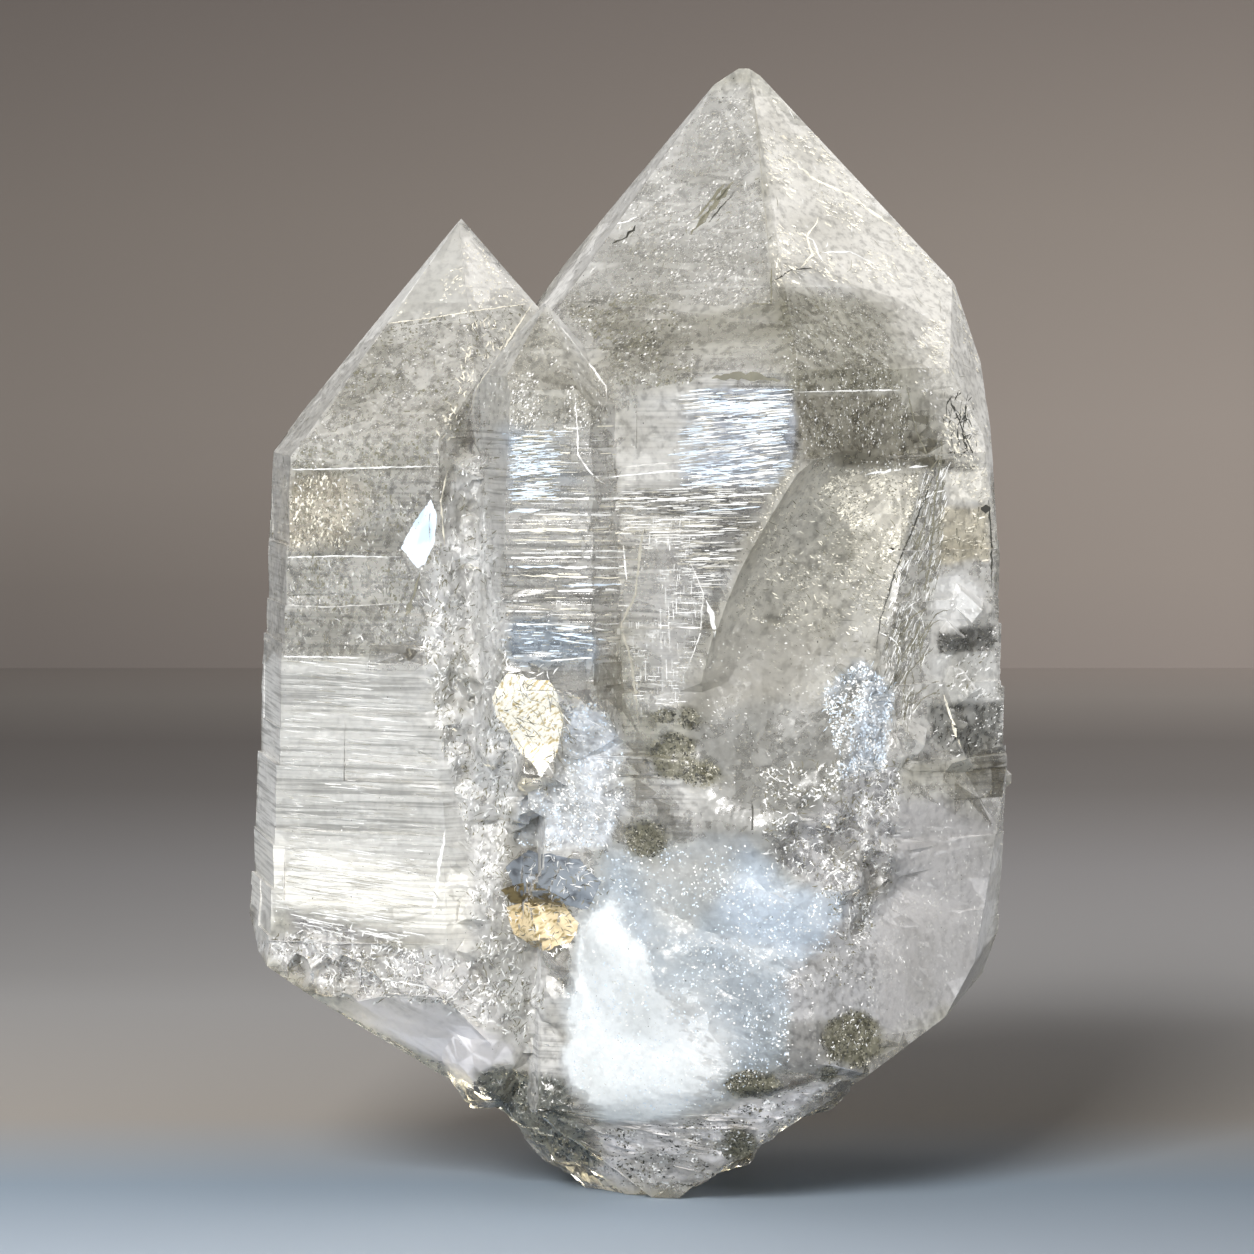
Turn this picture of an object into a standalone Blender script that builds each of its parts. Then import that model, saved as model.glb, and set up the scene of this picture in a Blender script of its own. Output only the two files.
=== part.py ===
"""Twin quartz crystal: two large pointed crystals and a small one, grown together on a broken base.

The frame is in metres with +Z up along the crystals. X runs to the right and Y away from the front.
The broken base is cut flat at Z = 0, and the body is centred over the origin.
"""
import math
import random

import bmesh
import bpy
from mathutils import Matrix, Vector, noise

MM = 0.001
BLOCK_SIZE = 160.0

# Driving dimensions, in millimetres: where the three points end
MAIN_TIP = Vector((10.4, 0.0, 94.6))
LEFT_TIP = Vector((-14.3, 2.0, 82.5))
FRONT_TIP = Vector((-6.6, -13.6, 74.9))

# A quartz point has six upright faces, 60 degrees apart, and above each a sloping one.
# Each tuple below goes round from the face at the front left, anticlockwise seen from above.
FACE_STEP = 60.0
FIRST_FACE = 240.0
TURN = 8.8
FRONT_TURN = 23.0

# How far each upright face is from its crystal's axis, in mm
MAIN_REACH = (20.9, 20.9, 19.7, 16.2, 15.8, 19.0)
LEFT_REACH = (16.4, 12.8, 15.0, 14.2, 14.2, 16.6)
FRONT_REACH = (7.2, 8.2, 7.4, 8.0, 8.0, 6.3)

# The pitch of each sloping face's normal, in degrees, and how far it misses the tip, in mm
MAIN_SLOPES = (38.0, 38.2, 41.2, 40.0, 39.0, 37.7)
MAIN_LIFTS = (0.2, 0.3, 0.9, 0.4, 1.3, 2.6)
LEFT_SLOPES = (38.4, 38.4, 39.2, 38.0, 38.0, 37.8)
LEFT_LIFTS = (0.1, 0.0, 0.0, 0.3, -0.5, -0.6)
FRONT_SLOPES = (38.2, 38.2, 38.2, 38.2, 38.2, 38.2)
FRONT_LIFTS = (0.2, 0.3, 0.0, 0.6, 0.5, 0.1)

# How much each shaft widens towards its foot, in degrees
MAIN_TAPER = 2.1
LEFT_TAPER = 3.0
FRONT_TAPER = 2.6

# Growth ledges: how far a step cuts into its face, in mm, the thickness of its cutter, how tall it
# is against the spacing, how wide and how far aside against the face's reach, and its tilt in degrees
LEDGE_BITE = (0.15, 0.38)
LEDGE_CUTTER = 4.0
LEDGE_TALL = (0.7, 1.3)
LEDGE_WIDE = (0.7, 2.4)
LEDGE_ASIDE = 0.45
LEDGE_TILT = 0.8

# The shaft has its stated reach at this share of the tip's height
SHAFT_MIDDLE = 0.45

# The bumps of a rough lump on a ball of radius 1: how close together they are and how high, for the
# broad ones and the small ones, and how far each seed moves them
BROAD_BUMPS = (2.2, 1.4)
SMALL_BUMPS = (5.5, 1.0)
SEED_STRIDE = Vector((3.1, 1.7, 0.9))

# A crumb, which is a small broken crystal, against its stated size: its radius, its length and how
# high its point starts. The point has three faces: their slope and how far they are turned aside, in
# degrees, and how far the crumb leans to the side and back
CRUMB_RADIUS = (0.45, 0.7)
CRUMB_LENGTH = (1.2, 2.0)
CRUMB_POINT = 0.7
CRUMB_SLOPE = (32.0, 48.0)
CRUMB_SKEW = 10.0
CRUMB_LEAN_SIDE = 60.0
CRUMB_LEAN_BACK = 40.0

# How deep the centre of a crumb and of a pit lies under the surface, against its size
CRUMB_SUNK = 0.42
PIT_SUNK = 0.0


def face_azimuth(index, turn):
    """The direction in plan, in degrees, that upright face number index looks to."""
    return FIRST_FACE + turn + FACE_STEP * index


def direction(azimuth, pitch):
    """A unit vector towards azimuth in plan, raised by pitch, both in degrees."""
    a, p = math.radians(azimuth), math.radians(pitch)
    return Vector((math.cos(a) * math.cos(p), math.sin(a) * math.cos(p), math.sin(p)))


def shaft_middle(tip):
    """The height at which the shaft of a crystal has its stated reach."""
    return tip.z * SHAFT_MIDDLE


def cut(body, point, normal):
    """Slice a convex body along a plane, drop what lies outside and close it again."""
    geometry = body.verts[:] + body.edges[:] + body.faces[:]
    bmesh.ops.bisect_plane(
        body, geom=geometry, dist=1e-7, plane_co=point * MM, plane_no=normal, clear_outer=True
    )
    rim = [edge for edge in body.edges if edge.is_boundary]
    if rim:
        bmesh.ops.holes_fill(body, edges=rim, sides=0)


def new_object(name, body, collection):
    """Turn a bmesh into an object in the collection."""
    bmesh.ops.recalc_face_normals(body, faces=body.faces[:])
    mesh = bpy.data.meshes.new(name)
    body.to_mesh(mesh)
    body.free()
    result = bpy.data.objects.new(name, mesh)
    collection.objects.link(result)
    return result


def placed(centre, lean_right, lean_back, turn):
    """The matrix that turns a piece, leans it to the right and back, and moves it to centre."""
    spin = Matrix.Rotation(math.radians(turn), 4, "Z")
    right = Matrix.Rotation(math.radians(lean_right), 4, "Y")
    back = Matrix.Rotation(math.radians(-lean_back), 4, "X")
    return Matrix.Translation(centre * MM) @ back @ right @ spin


def combine(body, others, operation):
    """Join others to the body, or cut them out of it, and keep the result as plain mesh."""
    for other in others:
        step = body.modifiers.new(other.name, "BOOLEAN")
        step.operation = operation
        step.solver = "EXACT"
        step.object = other
        bpy.context.view_layer.update()
        evaluated = body.evaluated_get(bpy.context.evaluated_depsgraph_get())
        mesh = bpy.data.meshes.new_from_object(evaluated)
        body.modifiers.remove(step)
        old_mesh = body.data
        body.data = mesh
        bpy.data.meshes.remove(old_mesh)
        other.hide_render = True
        other.display_type = "WIRE"


def quartz_point(tip, reach, slopes, lifts, turn, taper):
    """A six-sided crystal cut from a cube, one shaft face and one sloping face at a time."""
    body = bmesh.new()
    bmesh.ops.create_cube(body, size=BLOCK_SIZE * MM)
    to_foot = Vector((tip.x, tip.y, BLOCK_SIZE / 2))
    bmesh.ops.translate(body, verts=body.verts[:], vec=to_foot * MM)
    for index, distance in enumerate(reach):
        azimuth = face_azimuth(index, turn)
        on_shaft = Vector((tip.x, tip.y, shaft_middle(tip))) + direction(azimuth, 0) * distance
        cut(body, on_shaft, direction(azimuth, taper))
        cut(body, tip + Vector((0, 0, lifts[index])), direction(azimuth, slopes[index]))
    return body


def growth_ledges(tip, reach, turn, taper, sides, low, high, count, seed, collection):
    """Thin boxes that shave the upright faces: each leaves a ledge that dies out upwards."""
    rng = random.Random(seed)
    step = (high - low) / count
    cutters = []
    for index in sides:
        azimuth = face_azimuth(index, turn)
        for number in range(count):
            height = low + step * (number + rng.uniform(0.0, 0.6))
            tall = rng.uniform(*LEDGE_TALL) * step
            bite = rng.uniform(*LEDGE_BITE)
            width = reach[index] * rng.uniform(*LEDGE_WIDE)
            shift = reach[index] * rng.uniform(-LEDGE_ASIDE, LEDGE_ASIDE)
            tilt = rng.uniform(-LEDGE_TILT, LEDGE_TILT)
            taper_in = math.tan(math.radians(taper)) * (height - shaft_middle(tip))
            depth = reach[index] - taper_in - bite
            corner = Vector((tip.x, tip.y, height))
            corner += direction(azimuth, 0) * depth + direction(azimuth + 90, 0) * shift
            body = bmesh.new()
            bmesh.ops.create_cube(body, size=1.0)
            bmesh.ops.scale(body, vec=Vector((LEDGE_CUTTER, width, tall)) * MM, verts=body.verts[:])
            inner_edge = Matrix.Translation(Vector((LEDGE_CUTTER / 2, 0, tall / 2)) * MM)
            lean = Matrix.Rotation(math.atan2(bite, tall) - math.radians(taper), 4, "Y")
            roll = Matrix.Rotation(math.radians(tilt), 4, "X")
            spin = Matrix.Rotation(math.radians(azimuth), 4, "Z")
            matrix = Matrix.Translation(corner * MM) @ spin @ roll @ lean @ inner_edge
            bmesh.ops.transform(body, matrix=matrix, verts=body.verts[:])
            cutters.append(new_object(f"ledge_{seed}_{index}_{number}", body, collection))
    return cutters


def main_crystal(collection, cutters):
    """The tall crystal on the right, with its small facets at the tip and the right shoulder."""
    body = quartz_point(MAIN_TIP, MAIN_REACH, MAIN_SLOPES, MAIN_LIFTS, TURN, MAIN_TAPER)
    tip_facets = (
        (Vector((9.3, 0.0, 94.7)), direction(190, 56)),
        (Vector((12.5, -1.5, 93.4)), direction(300, 52)),
    )
    shoulder_facets = (
        (Vector((27.2, -6.0, 76.1)), direction(338, 18)),
        (Vector((30.9, -6.0, 66.5)), direction(341, 7)),
        (Vector((27.3, 0.0, 76.1)), direction(9, 18)),
        (Vector((25.2, 10.0, 75.0)), direction(38, 19)),
    )
    base_facets = (
        (Vector((31.5, -7.0, 27.0)), direction(346, -7)),
        (Vector((29.6, -7.0, 18.8)), direction(350, -26)),
        (Vector((24.0, 8.0, 12.4)), direction(355, -55)),
        (Vector((16.5, -20.0, 9.5)), direction(294, -44)),
        (Vector((6.0, -21.0, 9.5)), direction(258, -42)),
        (Vector((10.0, 16.5, 10.0)), direction(80, -46)),
        (Vector((-6.0, 6.0, 4.6)), direction(186, -54)),
    )
    for point, normal in tip_facets + shoulder_facets + base_facets:
        cut(body, point, normal)
    crystal = new_object("main_crystal", body, collection)
    ledges = growth_ledges(
        MAIN_TIP, MAIN_REACH, TURN, MAIN_TAPER, (0, 1, 2, 3, 4), 22, 66, 7, 3, cutters
    )
    combine(crystal, ledges, "DIFFERENCE")
    return crystal


def left_crystal(cutters):
    """The shorter crystal on the left, behind the small one."""
    body = quartz_point(LEFT_TIP, LEFT_REACH, LEFT_SLOPES, LEFT_LIFTS, TURN, LEFT_TAPER)
    other_facets = (
        (Vector((-14.3, 1.5, 82.3)), direction(280, 82)),
        (Vector((-32.3, 6.0, 21.8)), direction(181, -24)),
        (Vector((-30.4, 8.0, 18.3)), direction(182, -48)),
        (Vector((-23.0, 10.0, 14.1)), direction(183, -57)),
        (Vector((-20.0, -14.0, 17.0)), direction(248, -44)),
        (Vector((-14.0, 14.0, 15.0)), direction(112, -48)),
    )
    for point, normal in other_facets:
        cut(body, point, normal)
    crystal = new_object("left_crystal", body, cutters)
    ledges = growth_ledges(
        LEFT_TIP, LEFT_REACH, TURN, LEFT_TAPER, (0, 4, 5), 20, 58, 8, 5, cutters
    )
    combine(crystal, ledges, "DIFFERENCE")
    return crystal


def front_crystal(cutters):
    """The small crystal in front, which dies out in the broken zone below it."""
    body = quartz_point(
        FRONT_TIP, FRONT_REACH, FRONT_SLOPES, FRONT_LIFTS, FRONT_TURN, FRONT_TAPER
    )
    cut(body, Vector((-6.6, -19.0, 41.0)), direction(262, -30))
    cut(body, Vector((-6.6, -14.0, 34.0)), direction(285, -50))
    crystal = new_object("front_crystal", body, cutters)
    ledges = growth_ledges(
        FRONT_TIP, FRONT_REACH, FRONT_TURN, FRONT_TAPER, (0, 1), 43, 64, 10, 8, cutters
    )
    combine(crystal, ledges, "DIFFERENCE")
    return crystal


def rough_lump(name, centre, radii, roughness, detail, seed, collection, bluntness=2.0):
    """A lump with broken faces and bumps about roughness mm high, cut flat at the foot.

    A bluntness of 2 gives a ball, and one near 1 a blunt diamond.
    """
    body = bmesh.new()
    bmesh.ops.create_icosphere(body, subdivisions=detail, radius=1.0)
    offset = SEED_STRIDE * seed
    for vertex in body.verts:
        along = vertex.co.normalized()
        bump = 0.0
        for closeness, height in (BROAD_BUMPS, SMALL_BUMPS):
            bump += noise.noise(along * closeness + offset) * height
        size = sum(abs(part) ** bluntness for part in along) ** (-1.0 / bluntness)
        on_lump = Vector((along.x * radii.x, along.y * radii.y, along.z * radii.z)) * size
        vertex.co = (centre + on_lump + along * bump * roughness) * MM
    if centre.z < radii.z + roughness:
        cut(body, Vector((0, 0, 0)), Vector((0, 0, -1)))
    return new_object(name, body, collection)


def base_lumps(collection):
    """The rough broken stone under the crystals, and two knobs low on the right side."""
    return [
        rough_lump("front_base", Vector((2.0, -5.0, 9.2)), Vector((15.2, 13.5, 11.2)), 0.8, 4, 7,
                   collection, bluntness=1.3),
        rough_lump("back_base", Vector((2.2, 5.5, 9.2)), Vector((14.0, 12.5, 11.4)), 0.8, 3, 4,
                   collection, bluntness=1.35),
        rough_lump("right_knob", Vector((30.0, -3.4, 35.0)), Vector((2.5, 3.6, 2.2)), 0.3, 3, 5,
                   collection),
        rough_lump("lower_knob", Vector((15.6, -10.0, 9.6)), Vector((3.4, 4.0, 2.8)), 0.4, 3, 9,
                   collection),
        rough_lump("joint_fill", Vector((-11.5, -8.6, 22.0)), Vector((6.0, 6.4, 15.0)), 0.7, 3, 2,
                   collection),
        rough_lump("milky_front", Vector((4.6, -10.6, 19.0)), Vector((11.0, 11.4, 13.0)), 0.55, 4, 3,
                   collection),
    ]


def scoop(name, centre, radii, lean_right, turn, roof, collection):
    """An egg-shaped cutter for a smooth hollow face, with a flat roof if one is given."""
    body = bmesh.new()
    bmesh.ops.create_icosphere(body, subdivisions=4, radius=1.0)
    bmesh.ops.scale(body, vec=radii * MM, verts=body.verts[:])
    bmesh.ops.transform(body, matrix=placed(centre, lean_right, 0, turn), verts=body.verts[:])
    if roof:
        cut(body, Vector((0, 0, roof)), direction(105, 76))
    return new_object(name, body, collection)


def scoops(collection):
    """The curved contact face on the main crystal and the shell-shaped breaks round the base."""
    return [
        scoop("contact_face", Vector((21.7, -26.6, 55.0)), Vector((10.2, 10.9, 29.0)), 37, 17, 61.4,
              collection),
        scoop("left_break", Vector((-25.0, -17.0, 8.0)), Vector((12.0, 9.0, 9.0)), 32, 0, 0,
              collection),
        scoop("right_break", Vector((33.0, -18.0, 10.0)), Vector((8.0, 10.0, 14.0)), 20, 0, 0,
              collection),
        scoop("back_break", Vector((21.0, 33.0, 18.0)), Vector((24.0, 18.5, 24.0)), -12, 0, 0,
              collection),
        scoop("left_back_break", Vector((-28.0, 31.0, 14.0)), Vector((22.0, 18.0, 20.0)), 20, 0, 0,
              collection),
    ]


def crumb(name, centre, size, rng, collection):
    """One small broken crystal, tipped any way."""
    body = bmesh.new()
    radius = size * rng.uniform(*CRUMB_RADIUS) * MM
    length = size * rng.uniform(*CRUMB_LENGTH) * MM
    bmesh.ops.create_cone(
        body, cap_ends=True, segments=6, radius1=radius, radius2=radius, depth=length
    )
    for number in range(3):
        azimuth = 2 * FACE_STEP * number + rng.uniform(-CRUMB_SKEW, CRUMB_SKEW)
        cut(body, Vector((0, 0, size * CRUMB_POINT)), direction(azimuth, rng.uniform(*CRUMB_SLOPE)))
    lean_side = rng.uniform(-CRUMB_LEAN_SIDE, CRUMB_LEAN_SIDE)
    lean_back = rng.uniform(-CRUMB_LEAN_BACK, CRUMB_LEAN_BACK)
    matrix = placed(centre, lean_side, lean_back, rng.uniform(0, FACE_STEP))
    bmesh.ops.transform(body, matrix=matrix, verts=body.verts[:])
    return new_object(name, body, collection)


def crumbs(name, body, zone, sunk, collection):
    """Small broken crystals strewn over one zone of the body's front or back."""
    start, end, spread, count, smallest, largest, side, seed = zone
    rng = random.Random(seed)
    pieces = []
    for number in range(count):
        along = (number + rng.random()) / count
        x = start[0] + (end[0] - start[0]) * along + rng.uniform(-spread, spread)
        z = start[1] + (end[1] - start[1]) * along + rng.uniform(-spread, spread)
        size = rng.uniform(smallest, largest)
        origin = Vector((x, side * BLOCK_SIZE / 2, z)) * MM
        hit, place, _normal, _face = body.ray_cast(origin, Vector((0, -side, 0)))
        if hit:
            centre = place / MM - Vector((0, side, 0)) * size * sunk
            pieces.append(crumb(f"{name}_{number}", centre, size, rng, collection))
    return pieces


# Zones of small broken crystals: first and last place (X, Z), spread, count, smallest and largest
# size in mm, side (-1 is the front, 1 the back) and seed
CRUMB_ZONES = {
    "joint": ((-14.2, 61.0), (-13.0, 18.0), 1.5, 24, 1.8, 3.8, -1, 11),
    "under_front": ((-9.5, 38.0), (-3.0, 18.0), 3.0, 20, 2.2, 4.2, -1, 12),
    "right_patch": ((20.5, 43.0), (18.0, 26.0), 3.0, 26, 1.5, 3.2, -1, 33),
    "right_edge": ((27.0, 50.0), (27.5, 36.0), 1.6, 6, 1.6, 2.8, -1, 14),
    "left_foot": ((-28.0, 21.5), (-20.0, 19.0), 0.9, 9, 1.2, 2.2, -1, 15),
    "back_joint": ((-6.0, 58.0), (-5.0, 14.0), 2.0, 14, 2.8, 5.6, 1, 16),
}
PIT_ZONES = {
    "sparkling_pits": ((14.0, 34.0), (22.0, 24.0), 3.0, 9, 1.6, 3.2, -1, 21),
    "left_pits": ((-28.0, 20.5), (-21.0, 18.5), 1.0, 5, 1.4, 2.4, -1, 22),
    "back_pits": ((4.0, 30.0), (18.0, 12.0), 4.0, 7, 1.8, 3.4, 1, 23),
}


def drop_sealed_pockets(work):
    """Keep only the outer skin: pockets that the joined pieces closed off are filled."""
    unseen = set(work.verts)
    skins = []
    while unseen:
        skin = set()
        queue = [unseen.pop()]
        while queue:
            vertex = queue.pop()
            skin.add(vertex)
            for edge in vertex.link_edges:
                neighbour = edge.other_vert(vertex)
                if neighbour in unseen:
                    unseen.discard(neighbour)
                    queue.append(neighbour)
        skins.append(skin)
    largest = max(skins, key=len)
    extra = [vertex for skin in skins if skin is not largest for vertex in skin]
    bmesh.ops.delete(work, geom=extra, context="VERTS")


def settle_in_frame(body):
    """Clean the joined mesh and stand it on Z = 0 with its box centred over the origin."""
    work = bmesh.new()
    work.from_mesh(body.data)
    bmesh.ops.remove_doubles(work, verts=work.verts[:], dist=0.000001)
    bmesh.ops.dissolve_degenerate(work, edges=work.edges[:], dist=0.000001)
    drop_sealed_pockets(work)
    bmesh.ops.triangulate(work, faces=work.faces[:])
    low = [min(vertex.co[axis] for vertex in work.verts) for axis in range(3)]
    high = [max(vertex.co[axis] for vertex in work.verts) for axis in range(3)]
    centre = Vector(((low[0] + high[0]) / 2, (low[1] + high[1]) / 2, low[2]))
    bmesh.ops.translate(work, verts=work.verts[:], vec=-centre)
    work.to_mesh(body.data)
    work.free()


def quartz_material():
    """Clear, faintly grey quartz."""
    material = bpy.data.materials.new("clear_quartz")
    material.use_nodes = True
    shader = material.node_tree.nodes["Principled BSDF"]
    shader.inputs["Base Color"].default_value = (0.86, 0.86, 0.84, 1.0)
    shader.inputs["Roughness"].default_value = 0.08
    shader.inputs["Metallic"].default_value = 0.0
    shader.inputs["IOR"].default_value = 1.544
    shader.inputs["Transmission Weight"].default_value = 0.9
    return material


def build():
    """Make the whole crystal group."""
    for old in list(bpy.data.objects):
        bpy.data.objects.remove(old, do_unlink=True)
    parts = bpy.data.collections.new("twin_quartz_crystal")
    cutters = bpy.data.collections.new("cutters")
    bpy.context.scene.collection.children.link(parts)
    bpy.context.scene.collection.children.link(cutters)

    body = main_crystal(parts, cutters)
    body.name = "twin_quartz_crystal"
    combine(body, [left_crystal(cutters), front_crystal(cutters)], "UNION")
    combine(body, scoops(cutters), "DIFFERENCE")
    combine(body, base_lumps(cutters), "UNION")
    for name, zone in CRUMB_ZONES.items():
        combine(body, crumbs(name, body, zone, CRUMB_SUNK, cutters), "UNION")
    for name, zone in PIT_ZONES.items():
        combine(body, crumbs(name, body, zone, PIT_SUNK, cutters), "DIFFERENCE")
    settle_in_frame(body)
    body.data.materials.clear()
    body.data.materials.append(quartz_material())


build()
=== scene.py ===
import math

import bmesh
import bpy
import numpy as np
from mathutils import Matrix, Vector
from mathutils.bvhtree import BVHTree


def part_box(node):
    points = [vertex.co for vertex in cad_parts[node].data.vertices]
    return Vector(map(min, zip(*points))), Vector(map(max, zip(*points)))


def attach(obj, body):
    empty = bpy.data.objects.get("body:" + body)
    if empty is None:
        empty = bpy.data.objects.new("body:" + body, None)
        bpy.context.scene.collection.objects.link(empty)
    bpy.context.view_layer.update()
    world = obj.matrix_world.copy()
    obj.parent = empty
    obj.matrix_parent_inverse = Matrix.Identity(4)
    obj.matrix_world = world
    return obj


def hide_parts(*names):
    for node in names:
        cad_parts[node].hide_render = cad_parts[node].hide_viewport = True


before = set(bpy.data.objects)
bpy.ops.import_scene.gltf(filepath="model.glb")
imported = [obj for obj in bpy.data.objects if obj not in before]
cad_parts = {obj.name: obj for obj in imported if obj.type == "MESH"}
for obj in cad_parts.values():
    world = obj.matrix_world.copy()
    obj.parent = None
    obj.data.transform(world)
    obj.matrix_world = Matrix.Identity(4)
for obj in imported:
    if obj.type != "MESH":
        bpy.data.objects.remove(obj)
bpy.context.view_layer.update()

MM = 0.001
NODE = "twin_quartz_crystal"
UP = np.array([0, 0, 1.0])

# The photograph's frame, in pixels, and the outline of the group in it
PHOTO_SIDE = 1254
PHOTO_LEFT = 245
PHOTO_RIGHT = 1008
PHOTO_TOP = 69
PHOTO_BOTTOM = 1187

# The frame's own box sets the scale of the photograph
BOX_LOW, BOX_HIGH = (Vector(corner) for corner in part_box(NODE))
PIXEL = (BOX_HIGH.z - BOX_LOW.z) / (PHOTO_BOTTOM - PHOTO_TOP)
MIDDLE_COLUMN = (PHOTO_LEFT + PHOTO_RIGHT) / 2

# Camera: nearly level, from straight ahead
CAMERA_DISTANCE = 0.55
CAMERA_PITCH = math.radians(3.0)
CAMERA_TARGET = Vector((0, 0, (PHOTO_BOTTOM - PHOTO_SIDE / 2) * PIXEL))
CAMERA_PLACE = CAMERA_TARGET + CAMERA_DISTANCE * Vector((0, -math.cos(CAMERA_PITCH), math.sin(CAMERA_PITCH)))
CAMERA_UP = Vector((0, math.sin(CAMERA_PITCH), math.cos(CAMERA_PITCH)))
CAMERA_AHEAD = (CAMERA_TARGET - CAMERA_PLACE).normalized()

# Places on the front, as outlines in pixels of the photograph
GREY_FACE = ((737, 75), (751, 87), (762, 187), (770, 263), (771, 304), (740, 308), (650, 300), (560, 290),
    (613, 207), (654, 154), (689, 103))
CREAM_SHOULDER = ((752, 88), (787, 106), (885, 180), (950, 255), (990, 350), (1005, 470), (960, 470),
    (915, 380), (890, 300), (835, 285), (775, 285), (765, 170))
OLIVE_PATCH = ((778, 300), (835, 292), (880, 320), (905, 388), (860, 393), (790, 392), (782, 350))
TAUPE_PATCH = ((790, 395), (900, 395), (925, 440), (900, 470), (850, 475), (805, 460))
MOTTLED_PATCH = ((555, 300), (640, 290), (700, 330), (690, 385), (620, 385), (600, 350))
BLUE_BAND = ((691, 395), (700, 389), (780, 388), (793, 400), (793, 465), (775, 487), (691, 487),
    (680, 470))
LINES_BELOW_BAND = ((610, 487), (770, 487), (735, 560), (705, 600), (690, 560), (640, 540), (610, 520))
CONTACT_FACE = ((793, 465), (935, 470), (915, 520), (895, 570), (880, 620), (875, 650), (860, 690),
    (820, 740), (770, 800), (700, 790), (690, 740), (683, 695), (700, 655), (722, 610), (735, 560),
    (760, 520), (775, 490))
# Painted light: a lighter tint on the scoop's left wall, which the key light leaves in shade
CONTACT_PAINTED_LIGHT = ((793, 465), (850, 468), (820, 510), (780, 560), (745, 620), (705, 680), (690, 690),
    (722, 610), (760, 520))
# Painted shade: a darker tint at the lower right of the scoop, which faces the key light and glares
CONTACT_GLARE_PAINTED_SHADE = ((905, 585), (905, 640), (885, 700), (800, 745), (755, 750), (760, 710), (815, 660),
    (850, 595))
CONTACT_UPPER = ((793, 465), (935, 470), (915, 520), (895, 570), (880, 625), (820, 640), (735, 615),
    (745, 545), (775, 490))
BRIGHT_ON_CONTACT = ((850, 470), (918, 476), (912, 520), (890, 565), (860, 540), (815, 490))
FRONT_TIP_FACE = ((541, 305), (553, 318), (606, 387), (608, 425), (490, 430), (474, 387), (497, 356))
FRONT_SHAFT = ((484, 430), (610, 425), (624, 514), (635, 595), (620, 627), (600, 665), (488, 665))
SMOOTH_MIDDLE = ((655, 515), (690, 520), (690, 560), (704, 593), (701, 633), (688, 669), (680, 705),
    (641, 720), (632, 662), (622, 630), (636, 595), (643, 540))
FRONT_BLUE_TOP = ((505, 430), (560, 428), (555, 500), (512, 500))
FRONT_BLUE_LOW = ((495, 640), (520, 620), (600, 628), (595, 660), (515, 668), (497, 655))
LEFT_TIP_FACE = ((457, 222), (530, 302), (375, 325))
# Painted light: the right half of the left tip is given a lighter, cloudier tint, to even out the shade
# across its ridge
LEFT_TIP_RIGHT_PAINTED_LIGHT = ((460, 222), (532, 303), (469, 316))
LEFT_FLECKED = ((375, 325), (532, 303), (500, 350), (470, 400), (450, 465), (270, 470), (275, 445),
    (326, 380))
LEFT_MIDDLE = ((268, 472), (440, 470), (450, 640), (254, 655), (260, 560))
LEFT_TAN = ((280, 478), (352, 476), (350, 545), (278, 548))
LEFT_STRIPED = ((252, 657), (430, 665), (475, 760), (475, 945), (247, 905), (247, 843), (249, 763))
# Partly the quartz's own cream, and partly a painted reflection of light off its striated back faces
LEFT_CREAM_AND_REFLECTION = ((247, 840), (476, 865), (478, 948), (300, 915), (246, 900))
LEFT_SMOOTH_BREAK = ((360, 985), (430, 1000), (520, 1050), (470, 1083), (420, 1055), (345, 1014))
LEFT_SPARKLING_EDGE = ((250, 940), (330, 930), (480, 965), (520, 1040), (430, 1005), (330, 995),
    (260, 950))
JOINT_LINE = ((478, 440), (500, 600), (520, 760), (500, 880), (545, 1000), (520, 1050), (470, 960),
    (470, 860), (440, 740), (420, 640), (440, 520))
CREAM_BLOCK = ((508, 674), (550, 681), (565, 714), (556, 752), (542, 778), (523, 755), (496, 717),
    (492, 696))
FEATHERY_DARK = ((940, 395), (962, 390), (982, 440), (972, 470), (946, 462))
CREAM_SPARKS = ((474, 325), (512, 322), (515, 350), (480, 370), (468, 400), (440, 460), (438, 440))
GOLD_BLOCK = ((505, 905), (565, 903), (578, 925), (570, 945), (540, 950), (512, 935))
BLUE_LENS = ((504, 870), (530, 851), (580, 858), (601, 880), (590, 909), (520, 895))
BROWN_LENS = ((501, 890), (530, 882), (566, 900), (560, 908), (512, 904))
MILKY_CLOUD = ((600, 850), (700, 845), (758, 843), (777, 882), (844, 898), (841, 923), (828, 955),
    (802, 977), (790, 1060), (720, 1100), (640, 1125), (575, 1090), (565, 1000), (585, 930))
FLAME = ((611, 891), (624, 917), (646, 955), (652, 987), (700, 1060), (687, 1114), (640, 1122),
    (614, 1129), (579, 1095), (563, 1051), (566, 1003), (579, 936))
MILKY_LOWER = ((640, 985), (700, 990), (735, 1050), (725, 1100), (680, 1122), (640, 1124))
BESIDE_CLOUD = ((790, 975), (838, 930), (862, 890), (874, 900), (876, 1035), (850, 1078), (785, 1075))
CLOUD_BLUE = ((745, 842), (777, 882), (844, 898), (841, 923), (800, 965), (730, 930), (700, 880))
CLOUD_GREY = ((632, 850), (735, 848), (728, 890), (690, 930), (655, 925))
MILKY_VEIL = ((690, 720), (800, 700), (860, 690), (840, 800), (760, 845), (700, 840))
CRUMBLY_PATCH = ((822, 690), (860, 660), (895, 690), (885, 770), (840, 779))
BROKEN_RIGHT = ((760, 770), (900, 760), (895, 880), (850, 960), (830, 900), (770, 860))
SMOOTH_RIGHT = ((880, 800), (998, 800), (995, 880), (985, 960), (960, 1005), (870, 1040), (865, 900))
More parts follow.
